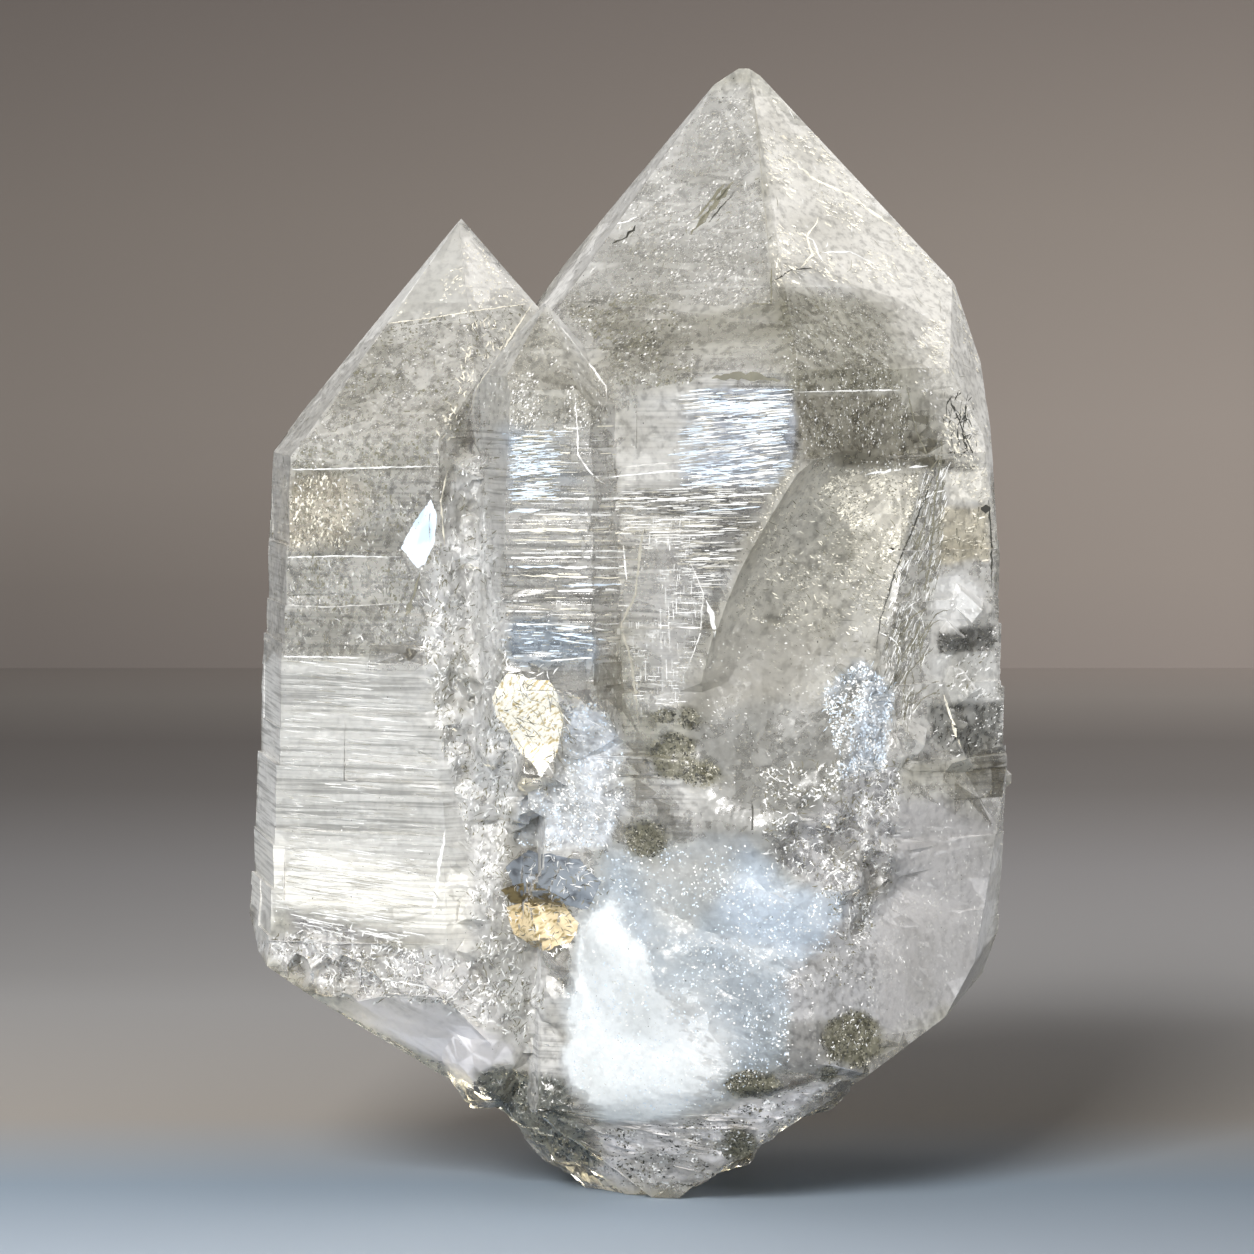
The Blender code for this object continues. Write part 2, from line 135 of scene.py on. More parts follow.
WHITE_SPARKLE = ((562, 705), (596, 703), (622, 738), (624, 800), (606, 846), (545, 850), (512, 842),
    (518, 800), (545, 785), (562, 765))
AROUND_CREAM = ((498, 664), (556, 670), (578, 716), (566, 762), (542, 792), (512, 764), (484, 722),
    (482, 690))
AROUND_GOLD = ((494, 842), (535, 838), (612, 856), (606, 914), (588, 940), (560, 962), (505, 948),
    (490, 895))
LEFT_DARK_BAND = ((290, 914), (350, 926), (412, 932), (415, 942), (350, 940), (296, 928))
WHOLE_FRONT = ((457, 222), (535, 306), (613, 210), (689, 106), (748, 74), (787, 112), (880, 190),
    (938, 268), (980, 400), (992, 560), (1000, 760), (990, 880), (980, 955), (870, 1055), (740, 1155),
    (690, 1182), (600, 1182), (470, 1080), (345, 1010), (262, 945), (250, 900), (252, 760), (266, 560),
    (280, 447))
RIGHT_STRIP = ((935, 470), (990, 470), (1000, 700), (960, 760), (895, 760), (880, 660), (900, 570))
STRIP_TOP = ((945, 472), (986, 468), (991, 502), (948, 504))
STRIP_BANDED = ((941, 507), (988, 506), (990, 560), (937, 563))
STRIP_BLOB = ((933, 580), (962, 573), (984, 590), (981, 616), (956, 633), (929, 620))
STRIP_GAP = ((938, 634), (962, 628), (993, 627), (996, 650), (940, 652))
STRIP_PALE = ((928, 655), (996, 652), (1000, 699), (960, 702), (932, 694))
STRIP_DARK = ((930, 706), (1001, 704), (1002, 745), (965, 760), (934, 744))
FIBROUS_STRIP = ((925, 470), (948, 470), (940, 560), (926, 640), (905, 755), (884, 700), (884, 620),
    (900, 560))
SOFT_FRONT = ((600, 860), (700, 700), (862, 690), (856, 960), (800, 1090), (700, 1140), (600, 1150),
    (560, 1085), (560, 950))
SOFT_RIGHT = ((770, 765), (905, 755), (955, 850), (955, 965), (870, 1045), (790, 1000))
SMOKY_FOOT = ((473, 1075), (500, 1066), (560, 1080), (598, 1166), (550, 1158), (500, 1115))
ROUGH_RIM = ((598, 1130), (690, 1120), (760, 1100), (840, 1080), (740, 1160), (690, 1187), (600, 1187))

WHITE = (0.92, 0.92, 0.90)
CREAM = (0.93, 0.88, 0.74)
ICE_BLUE = (0.74, 0.85, 0.97)
PALE = (0.80, 0.79, 0.76)
PALE_GREY = (0.62, 0.61, 0.58)
TAUPE = (0.40, 0.38, 0.32)
OLIVE_GREY = (0.20, 0.19, 0.14)
DARK = (0.035, 0.034, 0.026)


# Noise on arrays of points

def hashed(cells, seed):
    """A number from 0 to 1 for each row of whole numbers, the same on every run."""
    mixed = (cells[:, 0] * 73856093) ^ (cells[:, 1] * 19349663) ^ (cells[:, 2] * 83492791)
    mixed = (mixed ^ (seed * 2654435761)) & 0xFFFFFFFF
    mixed = ((mixed ^ (mixed >> 16)) * 73244475) & 0xFFFFFFFF
    mixed = ((mixed ^ (mixed >> 16)) * 73244475) & 0xFFFFFFFF
    return (mixed ^ (mixed >> 16)) / 4294967295.0


def smooth_noise(points, seed):
    """Soft noise from 0 to 1, with lumps about one unit across."""
    base = np.floor(points).astype(np.int64)
    part = points - base
    part = part * part * (3 - 2 * part)
    total = np.zeros(len(points))
    for corner in range(8):
        step = np.array([corner & 1, corner >> 1 & 1, corner >> 2 & 1])
        weight = np.prod(np.where(step == 1, part, 1 - part), axis=1)
        total += weight * hashed(base + step, seed)
    return total


def layered_noise(points, seed, layers):
    """Noise from 0 to 1 with finer detail in each layer."""
    total = np.zeros(len(points))
    strength, reach = 1.0, 0.0
    for layer in range(layers):
        total += strength * smooth_noise(points * 2 ** layer, seed + layer)
        reach += strength
        strength *= 0.5
    return total / reach


def broken_cells(points, size, seed):
    """Tilted flat facets of about the given size: a height from -1 to 1 at each point, in sizes."""
    scaled = points / size
    base = np.floor(scaled).astype(np.int64)
    nearest = np.full(len(points), np.inf)
    height = np.zeros(len(points))
    for x in (-1, 0, 1):
        for y in (-1, 0, 1):
            for z in (-1, 0, 1):
                cell = base + np.array([x, y, z])
                jitter = np.stack([hashed(cell, seed + k) for k in range(3)], 1)
                away = scaled - cell - jitter
                distance = (away ** 2).sum(1)
                tilt = np.stack([hashed(cell, seed + 5 + k) for k in range(3)], 1) - 0.5
                level = hashed(cell, seed + 9) - 0.5
                closer = distance < nearest
                nearest = np.where(closer, distance, nearest)
                height = np.where(closer, level + (away * tilt).sum(1) * 1.6, height)
    return height


# Places of the photograph on the body

def photo_place(points):
    """The column and row of the photograph at which the camera sees each point."""
    away = points - np.array(CAMERA_PLACE)
    ahead = away @ np.array(CAMERA_AHEAD)
    scale = CAMERA_DISTANCE / ahead / PIXEL
    column = MIDDLE_COLUMN + away[:, 0] * scale
    row = PHOTO_SIDE / 2 - (away @ np.array(CAMERA_UP)) * scale
    return np.stack([column, row], 1)


def sight_line(column, row):
    """The direction in which the camera sees a pixel of the photograph."""
    across = Vector((1, 0, 0)) * (column - MIDDLE_COLUMN) * PIXEL
    above = CAMERA_UP * (PHOTO_SIDE / 2 - row) * PIXEL
    return (CAMERA_AHEAD * CAMERA_DISTANCE + across + above).normalized()


def inside_by(places, outline):
    """How many pixels each place lies inside an outline, and less than 0 outside it."""
    corners = np.array(outline, dtype=float)
    nearest = np.full(len(places), np.inf)
    inside = np.zeros(len(places), dtype=bool)
    for start, end in zip(corners, np.roll(corners, -1, axis=0)):
        edge = end - start
        away = places - start
        share = np.clip((away @ edge) / (edge @ edge), 0, 1)
        nearest = np.minimum(nearest, np.linalg.norm(away - share[:, None] * edge, axis=1))
        spans = (start[1] > places[:, 1]) != (end[1] > places[:, 1])
        rise = edge[1] if edge[1] else 1.0
        inside ^= spans & (places[:, 0] < start[0] + edge[0] * (places[:, 1] - start[1]) / rise)
    return np.where(inside, nearest, -nearest)


def places_inside(outline, count, spare, rng):
    """Random places inside an outline: at most so many, out of spare times as many tries."""
    corners = np.array(outline)
    tries = rng.uniform(corners.min(0), corners.max(0), (count * spare, 2))
    return tries[inside_by(tries, outline) > 0][:count]


# The body's mesh

# Points closer than the first are one point; a slice this near to a point goes through it
SAME_PLACE = 1e-7
SLICE_NEAR = 2e-6


def mesh_arrays(mesh):
    """The points and triangles of a mesh."""
    mesh.calc_loop_triangles()
    points = np.empty(len(mesh.vertices) * 3)
    mesh.vertices.foreach_get("co", points)
    faces = np.empty(len(mesh.loop_triangles) * 3, dtype=np.int32)
    mesh.loop_triangles.foreach_get("vertices", faces)
    return points.reshape(-1, 3), faces.reshape(-1, 3).astype(np.int64)


def weld(points, faces):
    """Join points that lie in one place, and drop triangles that have no area."""
    keys = np.round(points / SAME_PLACE).astype(np.int64)
    _unique, first, group = np.unique(keys, axis=0, return_index=True, return_inverse=True)
    points, faces = points[first], group.reshape(-1)[faces]
    whole = (faces[:, 0] != faces[:, 1]) & (faces[:, 1] != faces[:, 2]) & (faces[:, 0] != faces[:, 2])
    return points, faces[whole]


def meeting_points(points, start, end, start_offset, end_offset):
    """New points where edges meet a plane, and their numbers. Both triangles of an edge agree."""
    swap = start > end
    first, last = np.where(swap, end, start), np.where(swap, start, end)
    near, far = np.where(swap, end_offset, start_offset), np.where(swap, start_offset, end_offset)
    share = (near / (near - far))[:, None]
    new = points[first] + (points[last] - points[first]) * share
    return np.concatenate([points, new]), np.arange(len(points), len(points) + len(new))


def slice_triangles(points, faces, way, places):
    """Split every triangle wherever a plane across a direction, at one of the places, crosses it."""
    done = []
    while len(faces):
        values = (points @ way)[faces]
        first = np.searchsorted(places, values.min(1) + SLICE_NEAR, side="right")
        crossed = first < len(places)
        crossed &= places[np.minimum(first, len(places) - 1)] < values.max(1) - SLICE_NEAR
        done.append(faces[~crossed])
        faces, values, first = faces[crossed], values[crossed], first[crossed]
        offset = values - places[first][:, None]
        side = np.where(np.abs(offset) < SLICE_NEAR, 0, np.sign(offset)).astype(int)
        alone = np.stack([(side[:, k] * side[:, (k + 1) % 3] <= 0) & (side[:, k] * side[:, (k + 2) % 3] <= 0)
                          & (side[:, k] != 0) for k in range(3)], 1)
        through = (side == 0).any(1)
        apart = ~through
        odd = np.where(through, (side == 0).argmax(1), alone.argmax(1))
        rows = np.arange(len(faces))
        a, b, c = (faces[rows, (odd + k) % 3] for k in range(3))
        to_a, to_b, to_c = (offset[rows, (odd + k) % 3] for k in range(3))
        points, on_bc = meeting_points(points, b[through], c[through], to_b[through], to_c[through])
        points, on_ab = meeting_points(points, a[apart], b[apart], to_a[apart], to_b[apart])
        points, on_ac = meeting_points(points, a[apart], c[apart], to_a[apart], to_c[apart])
        faces = np.concatenate([
            np.stack([a[through], b[through], on_bc], 1),
            np.stack([a[through], on_bc, c[through]], 1),
            np.stack([a[apart], on_ab, on_ac], 1),
            np.stack([on_ab, b[apart], c[apart]], 1),
            np.stack([on_ab, c[apart], on_ac], 1)])
    return weld(points, np.concatenate(done))


def refine(points, faces, wanted, longest, rounds):
    """Halve the long edges of triangles at places that are wanted, without opening the mesh."""
    mesh = bpy.data.meshes.new("fine_work")
    mesh.from_pydata(points.tolist(), [], faces.tolist())
    work = bmesh.new()
    work.from_mesh(mesh)
    for _round in range(rounds):
        work.verts.index_update()
        places = np.array([vertex.co[:] for vertex in work.verts])
        weight = wanted(places)
        ends = np.array([(edge.verts[0].index, edge.verts[1].index) for edge in work.edges])
        long = np.linalg.norm(places[ends[:, 0]] - places[ends[:, 1]], axis=1) > longest
        chosen = long & (weight[ends].sum(1) > 0.5)
        long_edges = [edge for edge, pick in zip(work.edges, chosen) if pick]
        bmesh.ops.subdivide_edges(work, edges=long_edges, cuts=1, use_grid_fill=False)
        bmesh.ops.triangulate(work, faces=[face for face in work.faces if len(face.verts) > 3])
    work.to_mesh(mesh)
    work.free()
    points, faces = mesh_arrays(mesh)
    bpy.data.meshes.remove(mesh)
    return points, faces


def face_normals(points, faces):
    """Unit normals of the triangles, and twice their areas."""
    a, b, c = (points[faces[:, k]] for k in range(3))
    normals = np.cross(b - a, c - a)
    size = np.linalg.norm(normals, axis=1)
    return normals / np.maximum(size, 1e-20)[:, None], size


def point_normals(points, faces):
    """Outward normals at the points, from the triangles round them."""
    normals, size = face_normals(points, faces)
    total = np.zeros_like(points)
    for corner in range(3):
        np.add.at(total, faces[:, corner], normals * size[:, None])
    return total / np.maximum(np.linalg.norm(total, axis=1), 1e-20)[:, None]


def mesh_object(name, points, faces, materials, smooth_angle=None):
    """A new object from arrays of points and faces, which rides with the crystal."""
    mesh = bpy.data.meshes.new(name)
    points = np.clip(points, np.array(BOX_LOW), np.array(BOX_HIGH))
    mesh.from_pydata(points.tolist(), [], faces.tolist())
    for material in materials:
        mesh.materials.append(material)
    if smooth_angle is not None:
        mesh.shade_smooth()
        mesh.set_sharp_from_angle(angle=math.radians(smooth_angle))
    result = bpy.data.objects.new(name, mesh)
    pieces.objects.link(result)
    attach(result, "root")
    return result


# Materials

QUARTZ_IOR = 1.544
QUARTZ_ABSORPTION = ((0.90, 0.885, 0.84, 1), 9.0)


def set_inputs(tree, node, inputs):
    """Give the inputs of a node their values, or the outputs that feed them."""
    for name, value in inputs.items():
        if isinstance(value, bpy.types.NodeSocket):
            tree.links.new(value, node.inputs[name])
        else:
            node.inputs[name].default_value = value


def new_node(tree, kind, inputs, **settings):
    """A new node of a kind, with its settings and its inputs."""
    node = tree.nodes.new("ShaderNode" + kind)
    for setting, value in settings.items():
        setattr(node, setting, value)
    set_inputs(tree, node, inputs)
    return node


def node_material(name):
    """A new material, its node tree and its Principled shader."""
    material = bpy.data.materials.new(name)
    material.use_nodes = True
    tree = material.node_tree
    return material, tree, tree.nodes["Principled BSDF"]


def noise_node(tree, scale, stretch=(1, 1, 1), detail=3.0, grit=0.6, turn=(0, 0, 0), way="POINT"):
    """A noise value over the object's own coordinates, stretched and turned if asked."""
    place = new_node(tree, "TexCoord", {}).outputs["Object"]
    mapping = {"Vector": place, "Rotation": turn, "Scale": stretch}
    stretched = new_node(tree, "Mapping", mapping, vector_type=way).outputs["Vector"]
    noise = {"Vector": stretched, "Scale": scale, "Detail": detail, "Roughness": grit}
    return new_node(tree, "TexNoise", noise).outputs["Fac"]


def ramp(tree, source, stops):
    """A colour ramp over a value: stops are (place, colour or grey)."""
    node = new_node(tree, "ValToRGB", {"Fac": source})
    while len(node.color_ramp.elements) < len(stops):
        node.color_ramp.elements.new(0.5)
    for element, (place, colour) in zip(node.color_ramp.elements, stops):
        element.position = place
        element.color = (*(colour if isinstance(colour, tuple) else (colour,) * 3), 1)
    return node.outputs["Color"]


def mix(tree, first, second, factor, blend="MIX"):
    """Two colours mixed by a factor."""
    return new_node(tree, "Mix", {"Factor": factor, "A": first, "B": second},
                    data_type="RGBA", blend_type=blend).outputs["Result"]


def multiply(tree, first, second):
    """Two colours multiplied together."""
    return mix(tree, first, second, 1.0, "MULTIPLY")


def mark_on(tree, mark, output):
    """What the mesh says under a mark, at each point."""
    return new_node(tree, "Attribute", {}, attribute_name=mark).outputs[output]


def where_marked(tree, mark, colour):
    """A colour where a mark of the mesh is 1, and white where it is 0."""
    return mix(tree, (1, 1, 1, 1), colour, mark_on(tree, mark, "Fac"))


def bump(tree, height, strength, distance, below=None):
    """A bump over a height, added to another bump if one is given."""
    inputs = {"Strength": strength, "Distance": distance, "Height": height}
    if below:
        inputs["Normal"] = below
    return new_node(tree, "Bump", inputs).outputs["Normal"]


def quartz_material(name, transmission, smoothest, roughest, line_bump, grain_bump):
    """Quartz of one clearness, with growth lines, fine etching and the body's tint."""
    material, tree, shader = node_material(name)
    specks = noise_node(tree, 1500.0, detail=2.0)
    mottle = ramp(tree, specks, ((0.32, 0.45), (0.5, 0.88), (0.64, 1.0)))
    growth = noise_node(tree, 1.0, (70, 70, 3600), 2.0)
    stripes = where_marked(tree, "lined", ramp(tree, growth, ((0.36, 0.42), (0.5, 0.88), (0.58, 1.0))))
    flecks = multiply(tree, mark_on(tree, "tint", "Color"), where_marked(tree, "flecked", mottle))
    lines = bump(tree, stripes, line_bump, 0.12 * MM)
    grain = bump(tree, noise_node(tree, 1100.0, detail=1.0), grain_bump, 0.1 * MM, lines)
    polish = ramp(tree, specks, ((0.4, smoothest), (0.6, roughest)))
    set_inputs(tree, shader, {"IOR": QUARTZ_IOR, "Transmission Weight": transmission, "Normal": grain,
                              "Base Color": multiply(tree, flecks, stripes), "Roughness": polish})
    colour, density = QUARTZ_ABSORPTION
    absorb = new_node(tree, "VolumeAbsorption", {"Color": colour, "Density": density})
    set_inputs(tree, tree.nodes["Material Output"], {"Volume": absorb.outputs["Volume"]})
    return material


def flake_material(name, colour, roughness):
    """Tiny flakes of one colour, a little lighter or darker from place to place."""
    material, tree, shader = node_material(name)
    darker = tuple(part * 0.72 for part in colour)
    shade = ramp(tree, noise_node(tree, 500.0), ((0.35, darker), (0.6, colour)))
    set_inputs(tree, shader, {"Base Color": shade, "Roughness": roughness})
    return material


def mineral_material(name, dark, light, scale, roughness):
    """An opaque mineral with a mottled colour and a grainy surface."""
    material, tree, shader = node_material(name)
    grains = noise_node(tree, scale, detail=5.0)
    shades = ramp(tree, grains, ((0.38, dark), (0.52, light), (0.72, dark)))
    set_inputs(tree, shader, {"Base Color": shades, "Roughness": roughness,
                              "Normal": bump(tree, grains, 0.6, 0.3 * MM)})
    return material


def streaked_material(name, dark, light, length, width, fall, roughness):
    """A sheet with fine streaks: their length and width in mm, and how steeply they fall to the right."""
    material, tree, shader = node_material(name)
    streaks = noise_node(tree, 1.0, (length * MM, width * MM, width * MM), grit=0.5,
                         turn=(0, -math.radians(fall), 0), way="TEXTURE")
    shades = ramp(tree, streaks, ((0.34, dark), (0.50, light), (1.0, light)))
    set_inputs(tree, shader, {"Base Color": shades, "Roughness": roughness,
                              "Normal": bump(tree, streaks, 0.4, 0.2 * MM)})
    return material


def stage_material(name, tones, axis, near_side_shade, far_side_shade):
    """A matt surface with painted shade: its tone changes softly along an axis, and from left to right, near
    and far.
    """
    material, tree, shader = node_material(name)
    place = new_node(tree, "TexCoord", {}).outputs["Object"]
    parts = new_node(tree, "SeparateXYZ", {"Vector": place}).outputs
    first, last = tones[0][0], tones[-1][0]
    ways = ((axis, first, last), ("X", -STAGE_SIDE, STAGE_SIDE))
    along, across = (new_node(tree, "MapRange", {"Value": parts[way], "From Min": low, "From Max": high})
                     .outputs["Result"] for way, low, high in ways)
    tone = ramp(tree, along, [((spot - first) / (last - first), colour) for spot, colour in tones])
    near, far = (ramp(tree, across, ((0.0, left), (1.0, right))) for left, right in (near_side_shade, far_side_shade))
    sides = mix(tree, near, far, ramp(tree, along, ((NEAR_END, 0.0), (FAR_START, 1.0))))
    set_inputs(tree, shader, {"Roughness": 0.75, "Base Color": multiply(tree, tone, sides)})
    return material


# The body

# Each zone: outline, softness of its edge in pixels, cloudiness from 0 to 1, tint, how rough its
# ground is, how strong its growth lines are, and how flecked it is
BODY_ZONES = (
    (GREY_FACE, 8, 0.55, (0.91, 0.90, 0.865), 0.0, 0.0, 0.55),
    (OLIVE_PATCH, 4, 0.5, (0.55, 0.53, 0.435), 0.0, 0.0, 1.0),
    (CREAM_SHOULDER, 16, 0.97, (0.80, 0.775, 0.72), 0.0, 0.0, 0.7),
    (TAUPE_PATCH, 3, 0.6, (0.42, 0.395, 0.32), 0.0, 0.0, 1.0),
    (MOTTLED_PATCH, 24, 0.5, (0.62, 0.60, 0.53), 0.0, 0.0, 1.0),
    (BLUE_BAND, 4, 0.62, (0.53, 0.57, 0.65), 0.0, 0.7, 0.5),
    (LINES_BELOW_BAND, 12, 0.45, (0.40, 0.395, 0.385), 0.0, 0.8, 0.6),
    (SMOOTH_MIDDLE, 5, 0.66, (0.76, 0.75, 0.73), 0.0, 0.3, 0.35),
    (CONTACT_FACE, 5, 0.7, (0.55, 0.53, 0.475), 0.0, 0.0, 0.35),
    (CONTACT_UPPER, 14, 0.7, (0.62, 0.60, 0.53), 0.0, 0.0, 0.9),
    # Painted light: a lighter tint in the shade of the scoop's left wall
    (CONTACT_PAINTED_LIGHT, 20, 0.8, (0.74, 0.715, 0.64), 0.0, 0.0, 0.7),
    # Painted shade: a darker tint against the key light's glare on the scoop; its broken ground is real
    # relief
    (CONTACT_GLARE_PAINTED_SHADE, 20, 0.98, (0.44, 0.43, 0.39), 0.35, 0.0, 0.6),
    (BRIGHT_ON_CONTACT, 16, 0.97, (0.74, 0.705, 0.615), 0.0, 0.0, 0.7),
    (FRONT_TIP_FACE, 5, 0.55, (0.78, 0.76, 0.69), 0.0, 0.0, 0.8),
    (FRONT_SHAFT, 5, 0.45, (0.78, 0.77, 0.74), 0.0, 0.8, 0.4),
    (FRONT_BLUE_TOP, 14, 0.55, (0.66, 0.74, 0.84), 0.0, 0.7, 0.5),
    (FRONT_BLUE_LOW, 10, 0.55, (0.47, 0.55, 0.65), 0.0, 0.4, 0.5),
    (LEFT_TIP_FACE, 8, 0.85, (0.80, 0.79, 0.75), 0.0, 0.0, 0.4),
    # Painted light: lighter right half of the left tip, against the shade across its ridge
    (LEFT_TIP_RIGHT_PAINTED_LIGHT, 4, 0.9, (0.82, 0.80, 0.76), 0.0, 0.0, 0.4),
    (LEFT_FLECKED, 12, 0.55, (0.95, 0.93, 0.87), 0.0, 0.0, 0.9),
    (LEFT_MIDDLE, 10, 0.5, (0.86, 0.85, 0.81), 0.0, 0.5, 1.0),
    (LEFT_TAN, 14, 0.55, (0.93, 0.85, 0.71), 0.0, 0.3, 0.8),
    (LEFT_STRIPED, 10, 0.74, (0.99, 0.99, 0.96), 0.0, 0.8, 0.3),
    # Partly own cream colour, partly a painted reflection off the striated back faces
    (LEFT_CREAM_AND_REFLECTION, 20, 1.0, (1.0, 0.98, 0.91), 0.0, 0.55, 0.15),
    (LEFT_DARK_BAND, 4, 0.6, (0.55, 0.53, 0.54), 0.0, 0.5, 0.3),
    (LEFT_SMOOTH_BREAK, 5, 0.95, (0.98, 0.96, 0.99), 0.0, 0.0, 0.15),
    (SMOOTH_RIGHT, 8, 0.9, (0.575, 0.565, 0.57), 0.0, 0.0, 0.4),
    (RIGHT_STRIP, 8, 0.6, (0.90, 0.89, 0.86), 0.0, 0.0, 0.8),
    (FIBROUS_STRIP, 5, 0.55, (0.80, 0.79, 0.75), 0.2, 0.0, 1.0),
    (STRIP_TOP, 4, 0.95, (0.97, 0.94, 0.86), 0.0, 0.0, 0.5),
    (STRIP_BANDED, 4, 0.85, (0.78, 0.72, 0.58), 0.0, 0.0, 1.0),
    (STRIP_BLOB, 3, 0.97, (0.78, 0.78, 0.77), 0.1, 0.0, 0.2),
    (STRIP_GAP, 5, 0.5, (0.26, 0.26, 0.25), 0.4, 0.0, 0.8),
    (STRIP_PALE, 4, 0.9, (0.82, 0.82, 0.80), 0.1, 0.0, 0.6),
    (STRIP_DARK, 5, 0.6, (0.40, 0.40, 0.38), 0.4, 0.0, 1.0),
    (JOINT_LINE, 12, 0.65, (1.0, 1.0, 0.99), 0.6, 0.0, 0.8),
    (LEFT_SPARKLING_EDGE, 8, 0.6, (1.0, 0.99, 0.99), 0.6, 0.0, 0.8),
    (BROKEN_RIGHT, 12, 0.55, (0.80, 0.80, 0.82), 0.5, 0.0, 1.0),
    (CRUMBLY_PATCH, 6, 0.9, (0.56, 0.61, 0.67), 0.7, 0.0, 0.9),
    (MILKY_VEIL, 14, 0.6, (0.45, 0.45, 0.43), 0.0, 0.0, 0.3),
    (MILKY_CLOUD, 26, 0.8, (0.55, 0.62, 0.69), 0.15, 0.0, 0.4),
    (CLOUD_BLUE, 18, 0.85, (0.63, 0.72, 0.83), 0.2, 0.0, 0.35),
    (CLOUD_GREY, 18, 0.7, (0.68, 0.70, 0.70), 0.05, 0.0, 0.3),
    (MILKY_LOWER, 30, 0.98, (0.82, 0.85, 0.87), 0.1, 0.0, 0.3),
    (BESIDE_CLOUD, 10, 0.7, (0.70, 0.70, 0.72), 0.25, 0.0, 0.9),
    (WHITE_SPARKLE, 10, 0.95, (0.82, 0.86, 0.92), 0.4, 0.0, 0.8),
    (FLAME, 12, 1.1, (0.84, 0.88, 0.90), 0.1, 0.0, 0.25),
    (SMOKY_FOOT, 6, 0.45, (0.34, 0.35, 0.31), 0.9, 0.0, 1.0),
    (ROUGH_RIM, 8, 0.98, (0.97, 0.95, 0.97), 0.5, 0.0, 0.9),
)

# Clearness classes: transmission, smoothest and roughest polish, and how strong the bumps of growth
# lines and grain are. A level of cloudiness above each limit takes the next class.
CLEARNESS = ((0.92, 0.02, 0.12, 0.35, 0.25), (0.80, 0.10, 0.24, 0.3, 0.4), (0.68, 0.18, 0.36, 0.22, 0.5),
             (0.58, 0.28, 0.5, 0.15, 0.6), (0.50, 0.4, 0.6, 0.1, 0.7), (0.30, 0.5, 0.65, 0.06, 0.6))
CLEARNESS_LIMITS = (0.18, 0.40, 0.60, 0.80, 0.96)

# How far the edge of a zone strays, in pixels, and how much cloudier the faces at the sides are made:
# painted light, which with a lighter tint fills the shade on those faces
ZONE_WANDER = 24
SIDE_PAINTED_LIGHT = 0.35

# Growth lines: heights of the steps, how thin a step's own edge is, and how deep it bites at most
STEP_HEIGHTS = np.concatenate([[0.0], np.cumsum(np.random.default_rng(4).uniform(0.0009, 0.0026, 90))])
STEP_HEIGHTS = STEP_HEIGHTS[STEP_HEIGHTS < BOX_HIGH.z]
STEP_EDGE = 0.00006
STEP_DEPTH = 0.00028
# How deep the facets of broken ground are cut
BROKEN_DEPTH = 0.0005
# The direction across the other slices, which meets all the upright faces at a fair angle
SLICE_AZIMUTH = math.radians(98.8)
SLICE_PLACES = np.arange(-0.05, 0.05, 0.0021)
# The longest edges where the mesh is fine and finest
FINE_EDGE = 0.9 * MM
FINEST_EDGE = 0.6 * MM
# Where edges are rounded off and how strongly, over how many pixels that fades in, and how often
SOFTENED = ((SOFT_FRONT, 0.6), (SOFT_RIGHT, 0.4), (JOINT_LINE, 0.2))
SOFT_EDGE = 24
SOFT_ROUNDS = 30
# How wide the fine mesh is beside the edge of a marked place, in pixels
FINE_MARGIN = 14


def open_values(points, normals):
    """Cloudiness, tint, and how broken, lined and flecked the body is where no zone lies."""
    mottled = layered_noise(points * 160, 11, 4)
    cloud = np.clip(0.4 + (mottled - 0.48) * 2.6, 0.1, 0.85)
    darker = np.clip((layered_noise(points * 110, 14, 3) - 0.5) * 4, 0, 0.5)[:, None]
    tint = np.array((0.93, 0.92, 0.89)) * (1 - darker * np.array((0.4, 0.42, 0.55)))
    rough = np.clip(1 - points[:, 2] / 0.016, 0, 1) * np.clip(points[:, 2] / 0.001, 0, 1)
    lined = np.clip((layered_noise(points * 90, 13, 2) - 0.35) * 4, 0, 1)
    lined *= np.clip(1 - np.abs(normals[:, 2]) * 4, 0, 1)
    return [cloud, tint, rough, lined, np.full(len(points), 0.7)]


def zone_values(points, normals):
    """Cloudiness, tint, and how broken, lined and flecked the body is at each point, with painted light on
    the faces at the sides.
    """
    values = open_values(points, normals)
    places = photo_place(points)
    wander = (layered_noise(points * 420, 17, 3) - 0.5) * ZONE_WANDER
    facing = normals[:, 1] < 0.25
    for outline, soft, *wanted in BODY_ZONES + mineral_zones():
        inside = inside_by(places, outline) + wander * min(1, soft / 12)
        share = np.clip(0.5 + inside / soft, 0, 1) * facing
        values = [old * (1 - part) + np.array(new) * part for old, new, part
                  in zip(values, wanted, (share, share[:, None], share, share, share))]
    cloud, tint, rough, lined, flecked = values
    blotches = np.clip((layered_noise(points * 330, 15, 3) - 0.5) * 3, 0, 0.45)
    tint = tint * (1 - (blotches * flecked)[:, None] * np.array((0.9, 0.92, 1.0)))
    # Painted light: faces turned to the sides are made cloudier and lighter, to fill the shade the lights
    # leave on them
    side_painted_light = np.clip(1.3 - np.abs(normals[:, 1]) * 1.7, 0, 1)
    side_painted_light *= (normals[:, 2] > -0.2) & (normals[:, 1] < 0.1)
    cloud = cloud + SIDE_PAINTED_LIGHT * side_painted_light
    tint = tint + (1 - tint) * 0.5 * side_painted_light[:, None]
    return cloud, tint, rough, lined, flecked


def mineral_outlines():
    """The outline of each mineral on the front, and its radius in pixels."""
    turns = np.linspace(0, 2 * math.pi, 10, endpoint=False)
    for _name, column, row, radius, (wide, _deep, high), _depth in INCLUSIONS:
        yield [(column + radius * wide * math.cos(turn), row + radius * high * math.sin(turn))
               for turn in turns], radius


